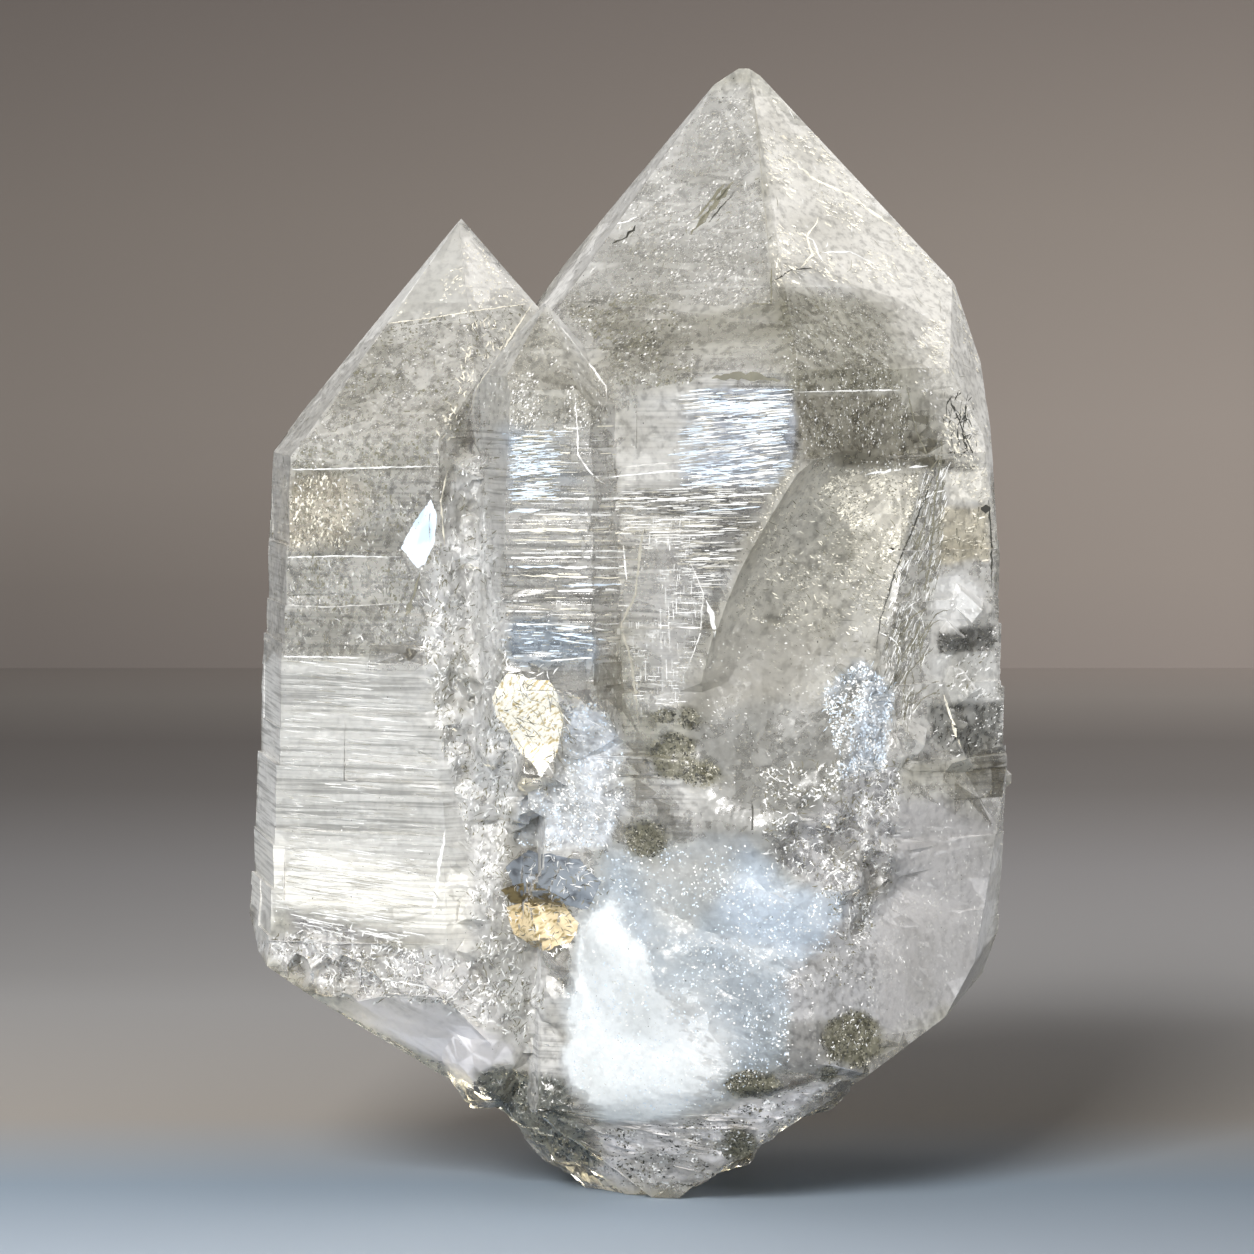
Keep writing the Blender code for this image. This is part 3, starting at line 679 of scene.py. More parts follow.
def mineral_zones():
    """A clear dark window over each mineral, as zones of the body."""
    return tuple((outline, 5, 0.62, (0.27, 0.255, 0.17), 0.3, 0.0, 1.0)
                 for outline, _radius in mineral_outlines())


def mineral_flakes():
    """Dark grains and a few pale ones over each mineral, as rows of flakes."""
    return tuple((outline, kind, int(radius * share), 0.08, longest, 0.6, None, 1.0, 0.7, 0.02)
                 for outline, radius in mineral_outlines()
                 for kind, share, longest in (("olive", 18, 0.45), ("dark", 14, 0.32), ("cream", 2, 0.2)))


def growth_steps(points, normals):
    """How deep the growth lines cut the upright faces at each point, in metres."""
    side = np.round((np.degrees(np.arctan2(normals[:, 1], normals[:, 0])) + 30) / 60)
    step = np.clip(np.searchsorted(STEP_HEIGHTS, points[:, 2], side="right") - 1, 0, len(STEP_HEIGHTS) - 2)
    share = (points[:, 2] - STEP_HEIGHTS[step]) / (STEP_HEIGHTS[step + 1] - STEP_HEIGHTS[step])
    bite = hashed(np.stack([step, side, side * 0], 1).astype(np.int64), 5)
    patches = layered_noise(points * np.array([130, 130, 260]) + side[:, None] * 9.1, 9, 3)
    return np.clip(bite - 0.2, 0, 1) * share * np.clip((patches - 0.35) * 5, 0.1, 1) * STEP_DEPTH


def fine_weight(points):
    """How much of the mesh at each point needs fine triangles, from 0 to 1."""
    front = np.zeros((len(points), 3))
    front[:, 1] = -1
    rough = zone_values(points, front)[2]
    places = photo_place(points)
    for outline in (MILKY_CLOUD, FLAME, BLUE_BAND, CONTACT_FACE, TAUPE_PATCH):
        near_edge = np.clip(1 - np.abs(inside_by(places, outline)) / FINE_MARGIN, 0, 1)
        rough = np.maximum(rough, near_edge * (points[:, 1] < 0))
    return rough


def strip_weight(points):
    """One on the strip at the right, whose markings are small, and nothing elsewhere."""
    return (inside_by(photo_place(points), RIGHT_STRIP) > -8) * (points[:, 1] < 0) * 1.0


def soften(points, faces, weight, rounds):
    """Round off the edges where the weight is, and never outwards."""
    ends = np.concatenate([faces[:, (0, 1)], faces[:, (1, 2)], faces[:, (2, 0)]])
    for _round in range(rounds):
        total, count = np.zeros_like(points), np.zeros(len(points))
        for here, there in ((0, 1), (1, 0)):
            np.add.at(total, ends[:, here], points[ends[:, there]])
            np.add.at(count, ends[:, here], 1)
        move = total / np.maximum(count, 1)[:, None] - points
        normals = point_normals(points, faces)
        outward = np.maximum((move * normals).sum(1), 0)
        points = points + (move - normals * outward[:, None]) * weight[:, None]
    return points


def fine_solid():
    """The frame's own solid, sliced along the growth lines, refined, and softened at the front."""
    points, faces = weld(*mesh_arrays(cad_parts[NODE].data))
    across = np.array([math.cos(SLICE_AZIMUTH), math.sin(SLICE_AZIMUTH), 0])
    for way, places in ((UP, STEP_HEIGHTS - STEP_EDGE), (UP, STEP_HEIGHTS), (across, SLICE_PLACES)):
        points, faces = slice_triangles(points, faces, way, places)
    for wanted, longest in ((fine_weight, FINE_EDGE), (strip_weight, FINEST_EDGE)):
        points, faces = refine(points, faces, wanted, longest, 2)
    places = photo_place(points)
    weight = np.zeros(len(points))
    for outline, strength in SOFTENED:
        weight = np.maximum(weight, strength * np.clip(0.5 + inside_by(places, outline) / SOFT_EDGE, 0, 1))
    return soften(points, faces, weight * (points[:, 1] < 0), SOFT_ROUNDS), faces


def relief(points, normals, rough, lined):
    """How deep growth lines and broken ground are cut at each point, in metres."""
    upright = np.clip(1 - np.abs(normals[:, 2]) * 4, 0, 1) * (1 - rough)
    depth = growth_steps(points, normals) * upright * np.clip(0.1 + lined * 1.5, 0, 1)
    facets = 0.5 + broken_cells(points, 1.6 * MM, 40) * 0.5 + broken_cells(points, 0.7 * MM, 60) * 0.25
    return depth + np.clip(facets, 0, 1.2) * BROKEN_DEPTH * rough


def crystal_body():
    """The whole group in fine mesh, with its relief, its materials and its marks."""
    points, faces = fine_solid()
    normals = point_normals(points, faces)
    cloud, tint, rough, lined, flecked = zone_values(points, normals)
    points = points - normals * relief(points, normals, rough, lined)[:, None]
    materials = [quartz_material(f"quartz_{number}", *values) for number, values in enumerate(CLEARNESS)]
    body = mesh_object("quartz_group", points, faces, materials, smooth_angle=25)
    mesh = body.data
    middle = points[faces].mean(1)
    level = cloud[faces].mean(1) + (layered_noise(middle * 1500, 21, 2) - 0.5) * 0.24
    kind = np.digitize(level, CLEARNESS_LIMITS)
    mesh.polygons.foreach_set("material_index", kind.astype(np.int32))
    colours = mesh.color_attributes.new("tint", "FLOAT_COLOR", "POINT")
    colours.data.foreach_set("color", np.concatenate([tint, np.ones((len(tint), 1))], 1).ravel())
    for mark, values in (("lined", lined), ("flecked", flecked)):
        mesh.attributes.new(mark, "FLOAT", "POINT").data.foreach_set("value", values)
    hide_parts(NODE)
    return points, faces


# Flakes

class Ground:
    """The crystal's surface, for finding where small things go."""

    def __init__(self, points, faces):
        self.tree = BVHTree.FromPolygons(points.tolist(), faces.tolist())
        self.points, self.faces = points, faces
        self.normals, self.areas = face_normals(points, faces)

    def seen_at(self, places):
        """The points that the camera sees at places of the photograph, with their normals."""
        seen = (self.seen(*place) for place in places)
        found = np.array([(*hit, *normal) for hit, normal in seen if hit]).reshape(-1, 6)
        return found[:, :3], found[:, 3:]

    def seen(self, column, row):
        """The point that the camera sees at one place of the photograph, and its normal."""
        return self.tree.ray_cast(CAMERA_PLACE, sight_line(column, row))[:2]

    def all_over(self, count, rng):
        """Random places on the whole surface, with their normals."""
        pick = rng.choice(len(self.faces), count, p=self.areas / self.areas.sum())
        weights = rng.dirichlet((1, 1, 1), count)
        return (self.points[self.faces[pick]] * weights[:, :, None]).sum(1), self.normals[pick]

    def room(self, place, way):
        """How far it is from a place inside the crystal to its surface, in one direction."""
        hit, _normal, _face, distance = self.tree.ray_cast(Vector(place), Vector(way))
        return distance if hit else 0.0

    def holds(self, place):
        """Whether a place lies inside the crystal: the first surface behind it is then met from inside."""
        hit, normal, _face, _distance = self.tree.ray_cast(Vector(place), Vector((0, 1, 0)))
        return bool(hit) and normal.y > 0


def unit(vectors):
    """The vectors at length one."""
    return vectors / np.maximum(np.linalg.norm(vectors, axis=1), 1e-12)[:, None]


def flake_ends(ground, places, along, length):
    """Where flakes start and end. Long ones reach no further than the surface."""
    start, end = places - along * length[:, None] / 2, places + along * length[:, None] / 2
    for k in np.flatnonzero(length > LONG_FLAKE):
        back = min(length[k] / 2, ground.room(places[k], -along[k]) * 0.97)
        ahead = min(length[k] / 2, ground.room(places[k], along[k]) * 0.97)
        start[k], end[k] = places[k] - along[k] * back, places[k] + along[k] * ahead
    return start, end


def flakes(ground, places, normals, along, length, width, tilt, rng):
    """Thin uneven four-sided flakes, about level with their normals and all inside the crystal."""
    count = len(places)
    normals = unit(normals + rng.normal(0, tilt, (count, 3)))
    along = unit(along - normals * (along * normals).sum(1)[:, None])
    start, end = flake_ends(ground, places, along, length)
    middle, half = (start + end) / 2, (end - start) / 2
    across = np.cross(normals, along) * width[:, None] / 2
    corners = np.array([(-1, -1), (1, -1), (1, 1), (-1, 1)])
    spread = corners[None] * rng.uniform(0.5, 1.0, (count, 4, 2))
    points = middle[:, None] + half[:, None] * spread[:, :, :1] + across[:, None] * spread[:, :, 1:]
    inner = points - normals[:, None] * FLAKE_PROUD * 2.5
    kept = [k for k in range(count) if all(ground.holds(corner) for corner in inner[k])]
    points = points[kept].reshape(-1, 3)
    return points, np.arange(len(points)).reshape(-1, 4)


def clumped(places, size, keep, rng, seed):
    """Which places to keep so that they gather in wisps of about the given size."""
    value = layered_noise(places / size, seed, 3)
    order = np.sort(value)
    threshold = order[int(len(order) * (1 - keep))] if len(order) else 0
    return value > threshold + rng.normal(0, 0.02, len(places))


# A flake longer than the first is cut to the room that it has; a flake stands proud by the second at most
LONG_FLAKE = 1.2 * MM
FLAKE_PROUD = 0.02 * MM
# Below which share of width to length a flake is a growth line, and how wide in mm such a line may be
LINE_SLIM = 0.12
SLIM_WIDTH = 0.11


class FlakeHeap:
    """Flakes gathered by colour, so that each colour is one piece."""

    def __init__(self):
        self.heaps = {}

    def add(self, kind, points, faces):
        """Put flakes on the heap of their colour."""
        held = self.heaps.setdefault(kind, [[], [], 0])
        held[0].append(points)
        held[1].append(faces + held[2])
        held[2] += len(points)

    def make(self):
        """Turn each heap into a piece."""
        for kind, (points, faces, _count) in self.heaps.items():
            colour, roughness = FLAKE_KINDS[kind]
            material = flake_material(f"{kind}_flake", colour, roughness)
            mesh_object(f"{kind}_flakes", np.concatenate(points), np.concatenate(faces), [material])


FLAKE_KINDS = {
    "white": (WHITE, 0.35),
    "cream": (CREAM, 0.4),
    "blue": (ICE_BLUE, 0.35),
    "pale": (PALE, 0.45),
    "grey": (PALE_GREY, 0.5),
    "taupe": (TAUPE, 0.5),
    "olive": (OLIVE_GREY, 0.5),
    "dark": (DARK, 0.5),
}

# Flakes on the front: outline, colour, count, shortest and longest in mm, share of width to length,
# angle from level in degrees or None for any, how they clump in mm, share kept, deepest in mm
FRONT_FLAKES = (
    (WHOLE_FRONT, "white", 3200, 0.06, 0.14, 0.8, None, 3.0, 0.6, 0.02),
    (WHOLE_FRONT, "dark", 900, 0.06, 0.13, 0.8, None, 3.0, 0.6, 0.02),
    (GREY_FACE, "pale", 2000, 0.10, 0.4, 0.4, 50, 2.5, 0.5, 0.03),
    (GREY_FACE, "taupe", 1500, 0.08, 0.32, 0.5, 50, 2.5, 0.5, 0.03),
    (GREY_FACE, "dark", 240, 0.08, 0.22, 0.7, 50, 4.0, 0.6, 0.02),
    (GREY_FACE, "white", 220, 0.1, 0.4, 0.35, 50, 3.0, 0.4, 0.03),
    (CREAM_SHOULDER, "cream", 3200, 0.15, 1.0, 0.35, -42, 2.6, 0.4, 0.04),
    (CREAM_SHOULDER, "grey", 1800, 0.1, 0.6, 0.35, -42, 2.6, 0.45, 0.03),
    (CREAM_SHOULDER, "taupe", 600, 0.1, 0.4, 0.35, -42, 2.6, 0.45, 0.03),
    (OLIVE_PATCH, "white", 420, 0.07, 0.18, 0.8, None, 3.0, 0.8, 0.02),
    (OLIVE_PATCH, "pale", 500, 0.08, 0.3, 0.5, None, 3.0, 0.7, 0.03),
    (OLIVE_PATCH, "olive", 1400, 0.12, 0.5, 0.5, None, 2.0, 0.6, 0.05),
    (TAUPE_PATCH, "white", 420, 0.08, 0.26, 0.4, 90, 2.0, 0.7, 0.02),
    (TAUPE_PATCH, "pale", 450, 0.08, 0.3, 0.4, 90, 3.0, 0.7, 0.03),
    (TAUPE_PATCH, "olive", 1200, 0.12, 0.5, 0.4, 90, 2.0, 0.6, 0.04),
    (MOTTLED_PATCH, "olive", 1100, 0.12, 0.6, 0.55, 40, 2.0, 0.5, 0.04),
    (MOTTLED_PATCH, "pale", 500, 0.1, 0.35, 0.45, 40, 1.6, 0.6, 0.03),
    (MOTTLED_PATCH, "white", 90, 0.08, 0.25, 0.5, 40, 1.6, 0.6, 0.02),
    (MOTTLED_PATCH, "dark", 120, 0.1, 0.28, 0.7, 40, 1.6, 0.8, 0.02),
    (BLUE_BAND, "blue", 800, 0.6, 3.6, 0.03, 5, 2.0, 0.8, 0.03),
    (BLUE_BAND, "white", 700, 0.6, 4.0, 0.025, 5, 2.0, 0.8, 0.03),
    (BLUE_BAND, "taupe", 500, 0.6, 3.0, 0.03, 5, 2.0, 0.8, 0.03),
    (LINES_BELOW_BAND, "white", 250, 0.8, 4.5, 0.025, 2, 2.0, 0.9, 0.03),
    (LINES_BELOW_BAND, "grey", 350, 0.8, 4.5, 0.03, 2, 2.0, 0.9, 0.03),
    (LINES_BELOW_BAND, "taupe", 450, 0.6, 3.0, 0.04, 2, 2.0, 0.9, 0.03),
    (SMOOTH_MIDDLE, "white", 320, 0.3, 1.4, 0.05, 0, 2.0, 0.7, 0.02),
    (SMOOTH_MIDDLE, "white", 260, 0.3, 1.4, 0.05, 90, 2.0, 0.7, 0.02),
    (SMOOTH_MIDDLE, "taupe", 400, 0.08, 0.3, 0.5, None, 2.0, 0.7, 0.02),
    (FRONT_SHAFT, "white", 330, 1.5, 7.0, 0.015, 0, 2.0, 0.9, 0.03),
    (FRONT_SHAFT, "cream", 200, 1.5, 7.0, 0.015, 0, 2.0, 0.9, 0.03),
    (FRONT_SHAFT, "taupe", 600, 0.8, 4.0, 0.03, 0, 2.0, 0.9, 0.03),
    (FRONT_SHAFT, "olive", 260, 0.8, 3.0, 0.04, 0, 2.0, 0.9, 0.03),
    (FRONT_BLUE_TOP, "blue", 400, 0.4, 2.0, 0.08, 4, 1.2, 0.7, 0.03),
    (FRONT_BLUE_TOP, "olive", 260, 0.3, 1.4, 0.1, 4, 1.2, 0.7, 0.03),
    (FRONT_BLUE_LOW, "blue", 200, 0.4, 2.0, 0.06, 0, 1.2, 0.8, 0.03),
    (FRONT_TIP_FACE, "pale", 900, 0.1, 0.4, 0.45, 60, 2.0, 0.6, 0.03),
    (FRONT_TIP_FACE, "taupe", 800, 0.1, 0.35, 0.5, 60, 2.0, 0.6, 0.03),
    (FRONT_TIP_FACE, "dark", 90, 0.06, 0.15, 0.8, None, 2.0, 0.8, 0.02),
    (LEFT_TIP_FACE, "cream", 800, 0.12, 0.6, 0.3, 40, 2.5, 0.5, 0.04),
    (LEFT_FLECKED, "white", 420, 0.06, 0.18, 0.8, None, 2.4, 0.6, 0.03),
    (LEFT_FLECKED, "pale", 800, 0.08, 0.3, 0.6, None, 2.4, 0.6, 0.03),
    (LEFT_FLECKED, "olive", 1700, 0.12, 0.6, 0.6, None, 2.6, 0.45, 0.04),
    (LEFT_MIDDLE, "white", 450, 0.06, 0.2, 0.7, 80, 2.4, 0.6, 0.03),
    (LEFT_MIDDLE, "pale", 800, 0.08, 0.35, 0.5, 80, 2.4, 0.6, 0.03),
    (LEFT_MIDDLE, "olive", 1900, 0.12, 0.6, 0.5, 80, 2.4, 0.5, 0.04),
    (LEFT_TAN, "cream", 500, 0.12, 0.6, 0.45, 80, 2.0, 0.7, 0.03),
    (LEFT_TAN, "olive", 500, 0.1, 0.4, 0.5, 80, 2.0, 0.7, 0.03),
    (LEFT_STRIPED, "white", 900, 1.0, 7.0, 0.012, -3, 5.0, 0.75, 0.03),
    (LEFT_STRIPED, "grey", 700, 1.0, 7.0, 0.014, -3, 5.0, 0.75, 0.03),
    (LEFT_STRIPED, "taupe", 600, 0.8, 5.0, 0.014, -3, 5.0, 0.75, 0.03),
    (LEFT_CREAM_AND_REFLECTION, "white", 500, 1.5, 8.0, 0.015, -7, 5.0, 0.8, 0.03),
    (LEFT_CREAM_AND_REFLECTION, "taupe", 260, 0.8, 6.0, 0.014, -7, 5.0, 0.8, 0.03),
    (LEFT_DARK_BAND, "white", 90, 0.8, 4.0, 0.04, -9, 5.0, 0.8, 0.02),
    (CONTACT_UPPER, "cream", 2400, 0.08, 0.34, 0.25, -20, 3.0, 0.5, 0.03),
    (CONTACT_UPPER, "taupe", 1500, 0.08, 0.36, 0.4, -20, 2.0, 0.5, 0.03),
    (CONTACT_UPPER, "olive", 900, 0.08, 0.36, 0.4, -20, 2.0, 0.5, 0.03),
    (CONTACT_FACE, "pale", 700, 0.08, 0.3, 0.4, -20, 2.4, 0.5, 0.03),
    (CONTACT_FACE, "taupe", 900, 0.08, 0.3, 0.5, -20, 2.4, 0.5, 0.03),
    (CONTACT_FACE, "dark", 90, 0.08, 0.2, 0.7, None, 2.4, 0.8, 0.02),
    (BRIGHT_ON_CONTACT, "cream", 900, 0.12, 0.6, 0.5, 30, 1.5, 0.6, 0.03),
    (BRIGHT_ON_CONTACT, "olive", 420, 0.08, 0.24, 0.6, 30, 1.5, 0.6, 0.02),
    (JOINT_LINE, "white", 2600, 0.1, 0.5, 0.4, 70, 1.5, 0.5, 0.03),
    (JOINT_LINE, "olive", 1500, 0.1, 0.5, 0.4, 70, 1.5, 0.5, 0.03),
    (LEFT_SPARKLING_EDGE, "white", 1300, 0.1, 0.45, 0.5, None, 1.2, 0.5, 0.03),
    (LEFT_SPARKLING_EDGE, "olive", 500, 0.1, 0.45, 0.4, None, 1.2, 0.5, 0.03),
    (WHITE_SPARKLE, "white", 1300, 0.1, 0.4, 0.5, None, 1.0, 0.6, 0.03),
    (WHITE_SPARKLE, "blue", 800, 0.1, 0.4, 0.6, None, 1.0, 0.6, 0.03),
    (WHITE_SPARKLE, "taupe", 300, 0.1, 0.35, 0.4, None, 1.0, 0.6, 0.03),
    (CRUMBLY_PATCH, "blue", 1100, 0.12, 0.4, 0.7, None, 1.0, 0.7, 0.03),
    (CRUMBLY_PATCH, "white", 900, 0.1, 0.35, 0.7, None, 1.0, 0.7, 0.03),
    (CRUMBLY_PATCH, "olive", 300, 0.1, 0.4, 0.4, None, 1.0, 0.6, 0.03),
    (BROKEN_RIGHT, "white", 2000, 0.1, 0.45, 0.5, None, 1.4, 0.5, 0.03),
    (BROKEN_RIGHT, "olive", 1300, 0.1, 0.45, 0.5, None, 1.4, 0.5, 0.03),
    (MILKY_CLOUD, "white", 2200, 0.08, 0.3, 0.7, None, 1.4, 0.6, 0.03),
    (MILKY_CLOUD, "blue", 2200, 0.08, 0.35, 0.7, None, 1.4, 0.6, 0.03),
    (BESIDE_CLOUD, "white", 420, 0.1, 0.45, 0.5, None, 1.4, 0.5, 0.03),
    (BESIDE_CLOUD, "olive", 380, 0.1, 0.45, 0.5, None, 1.4, 0.5, 0.03),
    (FIBROUS_STRIP, "white", 700, 0.2, 1.0, 0.12, 68, 1.5, 0.6, 0.03),
    (FIBROUS_STRIP, "olive", 900, 0.2, 1.0, 0.12, 68, 1.5, 0.6, 0.03),
    (STRIP_TOP, "cream", 110, 0.15, 0.8, 0.3, 20, 2.0, 0.7, 0.03),
    (STRIP_TOP, "taupe", 70, 0.1, 0.5, 0.25, 20, 2.0, 0.7, 0.03),
    (STRIP_BANDED, "cream", 150, 0.3, 1.6, 0.16, 4, 2.0, 0.7, 0.03),
    (STRIP_BANDED, "olive", 150, 0.2, 1.1, 0.2, 88, 2.0, 0.7, 0.03),
    (STRIP_BLOB, "white", 60, 0.1, 0.4, 0.5, None, 2.0, 0.7, 0.02),
    (STRIP_GAP, "dark", 130, 0.15, 0.7, 0.4, 10, 1.5, 0.7, 0.03),
    (STRIP_GAP, "grey", 60, 0.1, 0.4, 0.4, 40, 1.5, 0.7, 0.03),
    (STRIP_PALE, "white", 160, 0.15, 0.9, 0.25, 25, 1.5, 0.6, 0.03),
    (STRIP_PALE, "olive", 130, 0.1, 0.6, 0.3, 25, 1.5, 0.6, 0.03),
    (STRIP_DARK, "dark", 200, 0.2, 0.9, 0.3, 70, 1.5, 0.6, 0.03),
    (STRIP_DARK, "white", 130, 0.1, 0.7, 0.3, 30, 1.5, 0.6, 0.03),
    (SMOOTH_RIGHT, "grey", 1100, 0.08, 0.35, 0.25, 90, 2.0, 0.6, 0.03),
    (SMOOTH_RIGHT, "white", 500, 0.08, 0.3, 0.25, 90, 2.0, 0.6, 0.03),
    (SMOKY_FOOT, "dark", 900, 0.2, 0.9, 0.5, 60, 1.5, 0.6, 0.3),
    (SMOKY_FOOT, "pale", 350, 0.08, 0.3, 0.5, None, 1.5, 0.8, 0.02),
    (ROUGH_RIM, "white", 1200, 0.1, 0.5, 0.5, None, 1.2, 0.5, 0.03),
    (ROUGH_RIM, "olive", 900, 0.08, 0.45, 0.6, None, 1.2, 0.5, 0.03),
    (ROUGH_RIM, "dark", 800, 0.1, 0.5, 0.5, None, 1.2, 0.5, 0.03),
)


def flake_sizes(number, shortest, longest, slim, widest, rng):
    """Lengths and widths of flakes, mostly short ones."""
    length = shortest + (longest - shortest) * rng.uniform(0, 1, number) ** 2
    return length, length * slim * rng.uniform(0.6, widest, number)


def along_faces(normals, turn):
    """Directions along faces, at an angle from level."""
    level = unit(np.cross(UP, -normals) + np.array([1e-6, 0, 0]))
    level *= np.where(level[:, :1] < 0, -1, 1)
    up = np.cross(level, -normals)
    up *= np.where(up[:, 2:] < 0, -1, 1)
    return level * np.cos(turn)[:, None] + up * np.sin(turn)[:, None]


def front_flakes(ground, heap):
    """Flakes, specks and growth lines on the front and just behind it, zone by zone."""
    rng = np.random.default_rng(3)
    for outline, kind, count, *sizes, slim, angle, clump, keep, deepest in FRONT_FLAKES + mineral_flakes():
        places, normals = ground.seen_at(places_inside(outline, int(count / keep), 3, rng))
        if not len(places):
            continue
        kept = clumped(places, clump * MM, keep, rng, len(kind))
        places, normals = places[kept], normals[kept]
        number = len(places)
        places = places + normals * (FLAKE_PROUD - rng.uniform(0, deepest, (number, 1)) * MM)
        if angle is None:
            turn = rng.uniform(0, math.pi, number)
        else:
            turn = np.radians(angle) + rng.normal(0, 0.25 if slim > LINE_SLIM else 0.006, number)
        along = along_faces(normals, turn)
        length, width = flake_sizes(number, *sizes, slim, 1.3, rng)
        if slim < LINE_SLIM:
            width = np.minimum(width, SLIM_WIDTH)
        tilt = 0.25 if slim > LINE_SLIM else 0.01
        heap.add(kind, *flakes(ground, places, normals, along, length * MM, width * MM, tilt, rng))


# Flakes under the whole surface: colour, count, shortest and longest in mm, share of width to length,
# how they clump in mm, share kept, deepest in mm
SCATTERED_FLAKES = (
    ("white", 26000, 0.12, 0.7, 0.45, 3.5, 0.45, 1.6),
    ("grey", 12000, 0.2, 0.9, 0.4, 3.0, 0.45, 2.5),
    ("cream", 5000, 0.15, 0.7, 0.5, 4.0, 0.4, 1.2),
    ("dark", 1800, 0.08, 0.3, 0.8, 4.0, 0.5, 0.6),
    ("olive", 5000, 0.15, 0.7, 0.4, 3.5, 0.4, 2.0),
)


def scattered_flakes(ground, heap):
    """Specks and wisps under the whole surface."""
    rng = np.random.default_rng(8)
    for kind, count, *sizes, slim, clump, keep, deepest in SCATTERED_FLAKES:
        places, normals = ground.all_over(count, rng)
        kept = clumped(places, clump * MM, keep, rng, len(kind) + 30)
        places, normals = places[kept], normals[kept]
        number = len(places)
        places = places - normals * rng.uniform(0.08, deepest, (number, 1)) * MM
        along = rng.normal(0, 1, (number, 3)) + np.array([0, 0, 1.2])
        length, width = flake_sizes(number, *sizes, slim, 1.4, rng)
        heap.add(kind, *flakes(ground, places, normals, along, length * MM, width * MM, 0.3, rng))


# Patches, seams and lumps

def uneven(outline, amount, rng):
    """The outline with short broken edges that stray from it by up to about amount pixels."""
    corners = np.array(outline, dtype=float)
    result = []
    for start, end in zip(corners, np.roll(corners, -1, axis=0)):
        count = max(2, int(np.linalg.norm(end - start) / 9))
        for share in np.arange(count) / count:
            result.append(start + (end - start) * share + rng.uniform(-amount, amount, 2))
    return result


def patch(ground, name, outline, material):
    """A sheet of one outline that follows the front."""
    corners = np.array(outline, dtype=float)
    low, high = corners.min(0) - PATCH_PITCH, corners.max(0) + PATCH_PITCH
    columns, rows = (np.arange(low[k], high[k] + PATCH_PITCH, PATCH_PITCH) for k in (0, 1))
    grid = np.stack(np.meshgrid(columns, rows), 2).reshape(-1, 2)
    inside = inside_by(grid, outline)
    wide = len(columns)
    number, points = {}, []
    for k in np.flatnonzero(inside > -PATCH_PITCH):
        place = grid[k]
        if inside[k] < 0:
            place = nearest_on(place, corners)
        hit, normal = ground.seen(*place)
        if hit:
            number[k] = len(points)
            points.append(hit - normal * PATCH_DEPTH)
    faces = []
    for k in number:
        ring = (k, k + 1, k + wide + 1, k + wide)
        if all(corner in number for corner in ring):
            faces.append([number[corner] for corner in ring])
    points = np.array([point[:] for point in points])
    middles = points[np.array(faces)]
    span = np.linalg.norm(middles.max(1) - middles.min(1), axis=1)
    faces = np.array(faces)[span < PATCH_PITCH * PIXEL * 6]
    return mesh_object(name, points, faces, [material], smooth_angle=40)


def nearest_on(place, corners):
    """The nearest point to a place on a closed outline."""
    best, distance = None, math.inf
    for start, end in zip(corners, np.roll(corners, -1, axis=0)):
        edge = end - start
        share = np.clip(((place - start) @ edge) / (edge @ edge), 0, 1)
        point = start + share * edge
        away = np.linalg.norm(point - place)
        if away < distance:
            best, distance = point, away
    return best


def lump(ground, name, column, row, radius, squash, depth, material, seed):
    """A knobbly lump whose middle lies at a depth behind a place on the front."""
    places, normals = ground.seen_at([(column, row)])
    centre = places[0] + np.array([0, 1, 0]) * depth
    work = bmesh.new()
    bmesh.ops.create_icosphere(work, subdivisions=LUMP_DETAIL, radius=1.0)
    along = np.array([vertex.co[:] for vertex in work.verts])
    faces = np.array([[vertex.index for vertex in face.verts] for face in work.faces])
    work.free()
    bumps = layered_noise(along * 2.2 + seed * 7.3, seed, 4) - 0.5
    facets = broken_cells(along + seed * 3.1, 0.4, seed)
    size = 1 + bumps * 1.1 + facets * 0.16
    offsets = along * size[:, None] * radius * PIXEL * np.array(squash)
    reach = np.linalg.norm(offsets, axis=1)
    room = np.array([ground.room(centre, offset) for offset in offsets])
    offsets *= np.minimum(1, room * LUMP_ROOM / reach)[:, None]
    return mesh_object(name, centre + offsets, faces, [material], smooth_angle=30)


def seam(ground, heap, kind, line, width, depth, rng, step=4.0):
    """A thin uneven ribbon that follows the front along a line of places and narrows to its ends."""
    line = np.array(line, dtype=float)
    steps = np.linalg.norm(np.diff(line, axis=0), axis=1)
    walked = np.concatenate([[0], np.cumsum(steps)])
    along = np.linspace(0, walked[-1], max(3, int(walked[-1] / step)))
    track = np.stack([np.interp(along, walked, line[:, k]) for k in (0, 1)], 1)
    track += rng.normal(0, 0.15 * min(width, 4.0), track.shape)
    places, normals = ground.seen_at(track)
    if len(places) < 3:
        return
    ways = unit(np.gradient(places, axis=0))
    across = unit(np.cross(normals, ways))
    share = np.linspace(0, 1, len(places))[:, None]
    taper = np.clip(np.minimum(share, 1 - share) * 6, 0.25, 1)
    half = width * PIXEL / 2 * rng.uniform(0.3, 1.15, (len(places), 1)) * taper
    places = places - normals * depth * MM
    points = np.concatenate([places - across * half, places + across * half])
    count = len(places)
    first = np.arange(count - 1)
    faces = np.stack([first, first + 1, first + 1 + count, first + count], 1)
    jump = np.linalg.norm(places[1:] - places[:-1], axis=1) < 12 * PIXEL
    heap.add(kind, points, faces[jump])


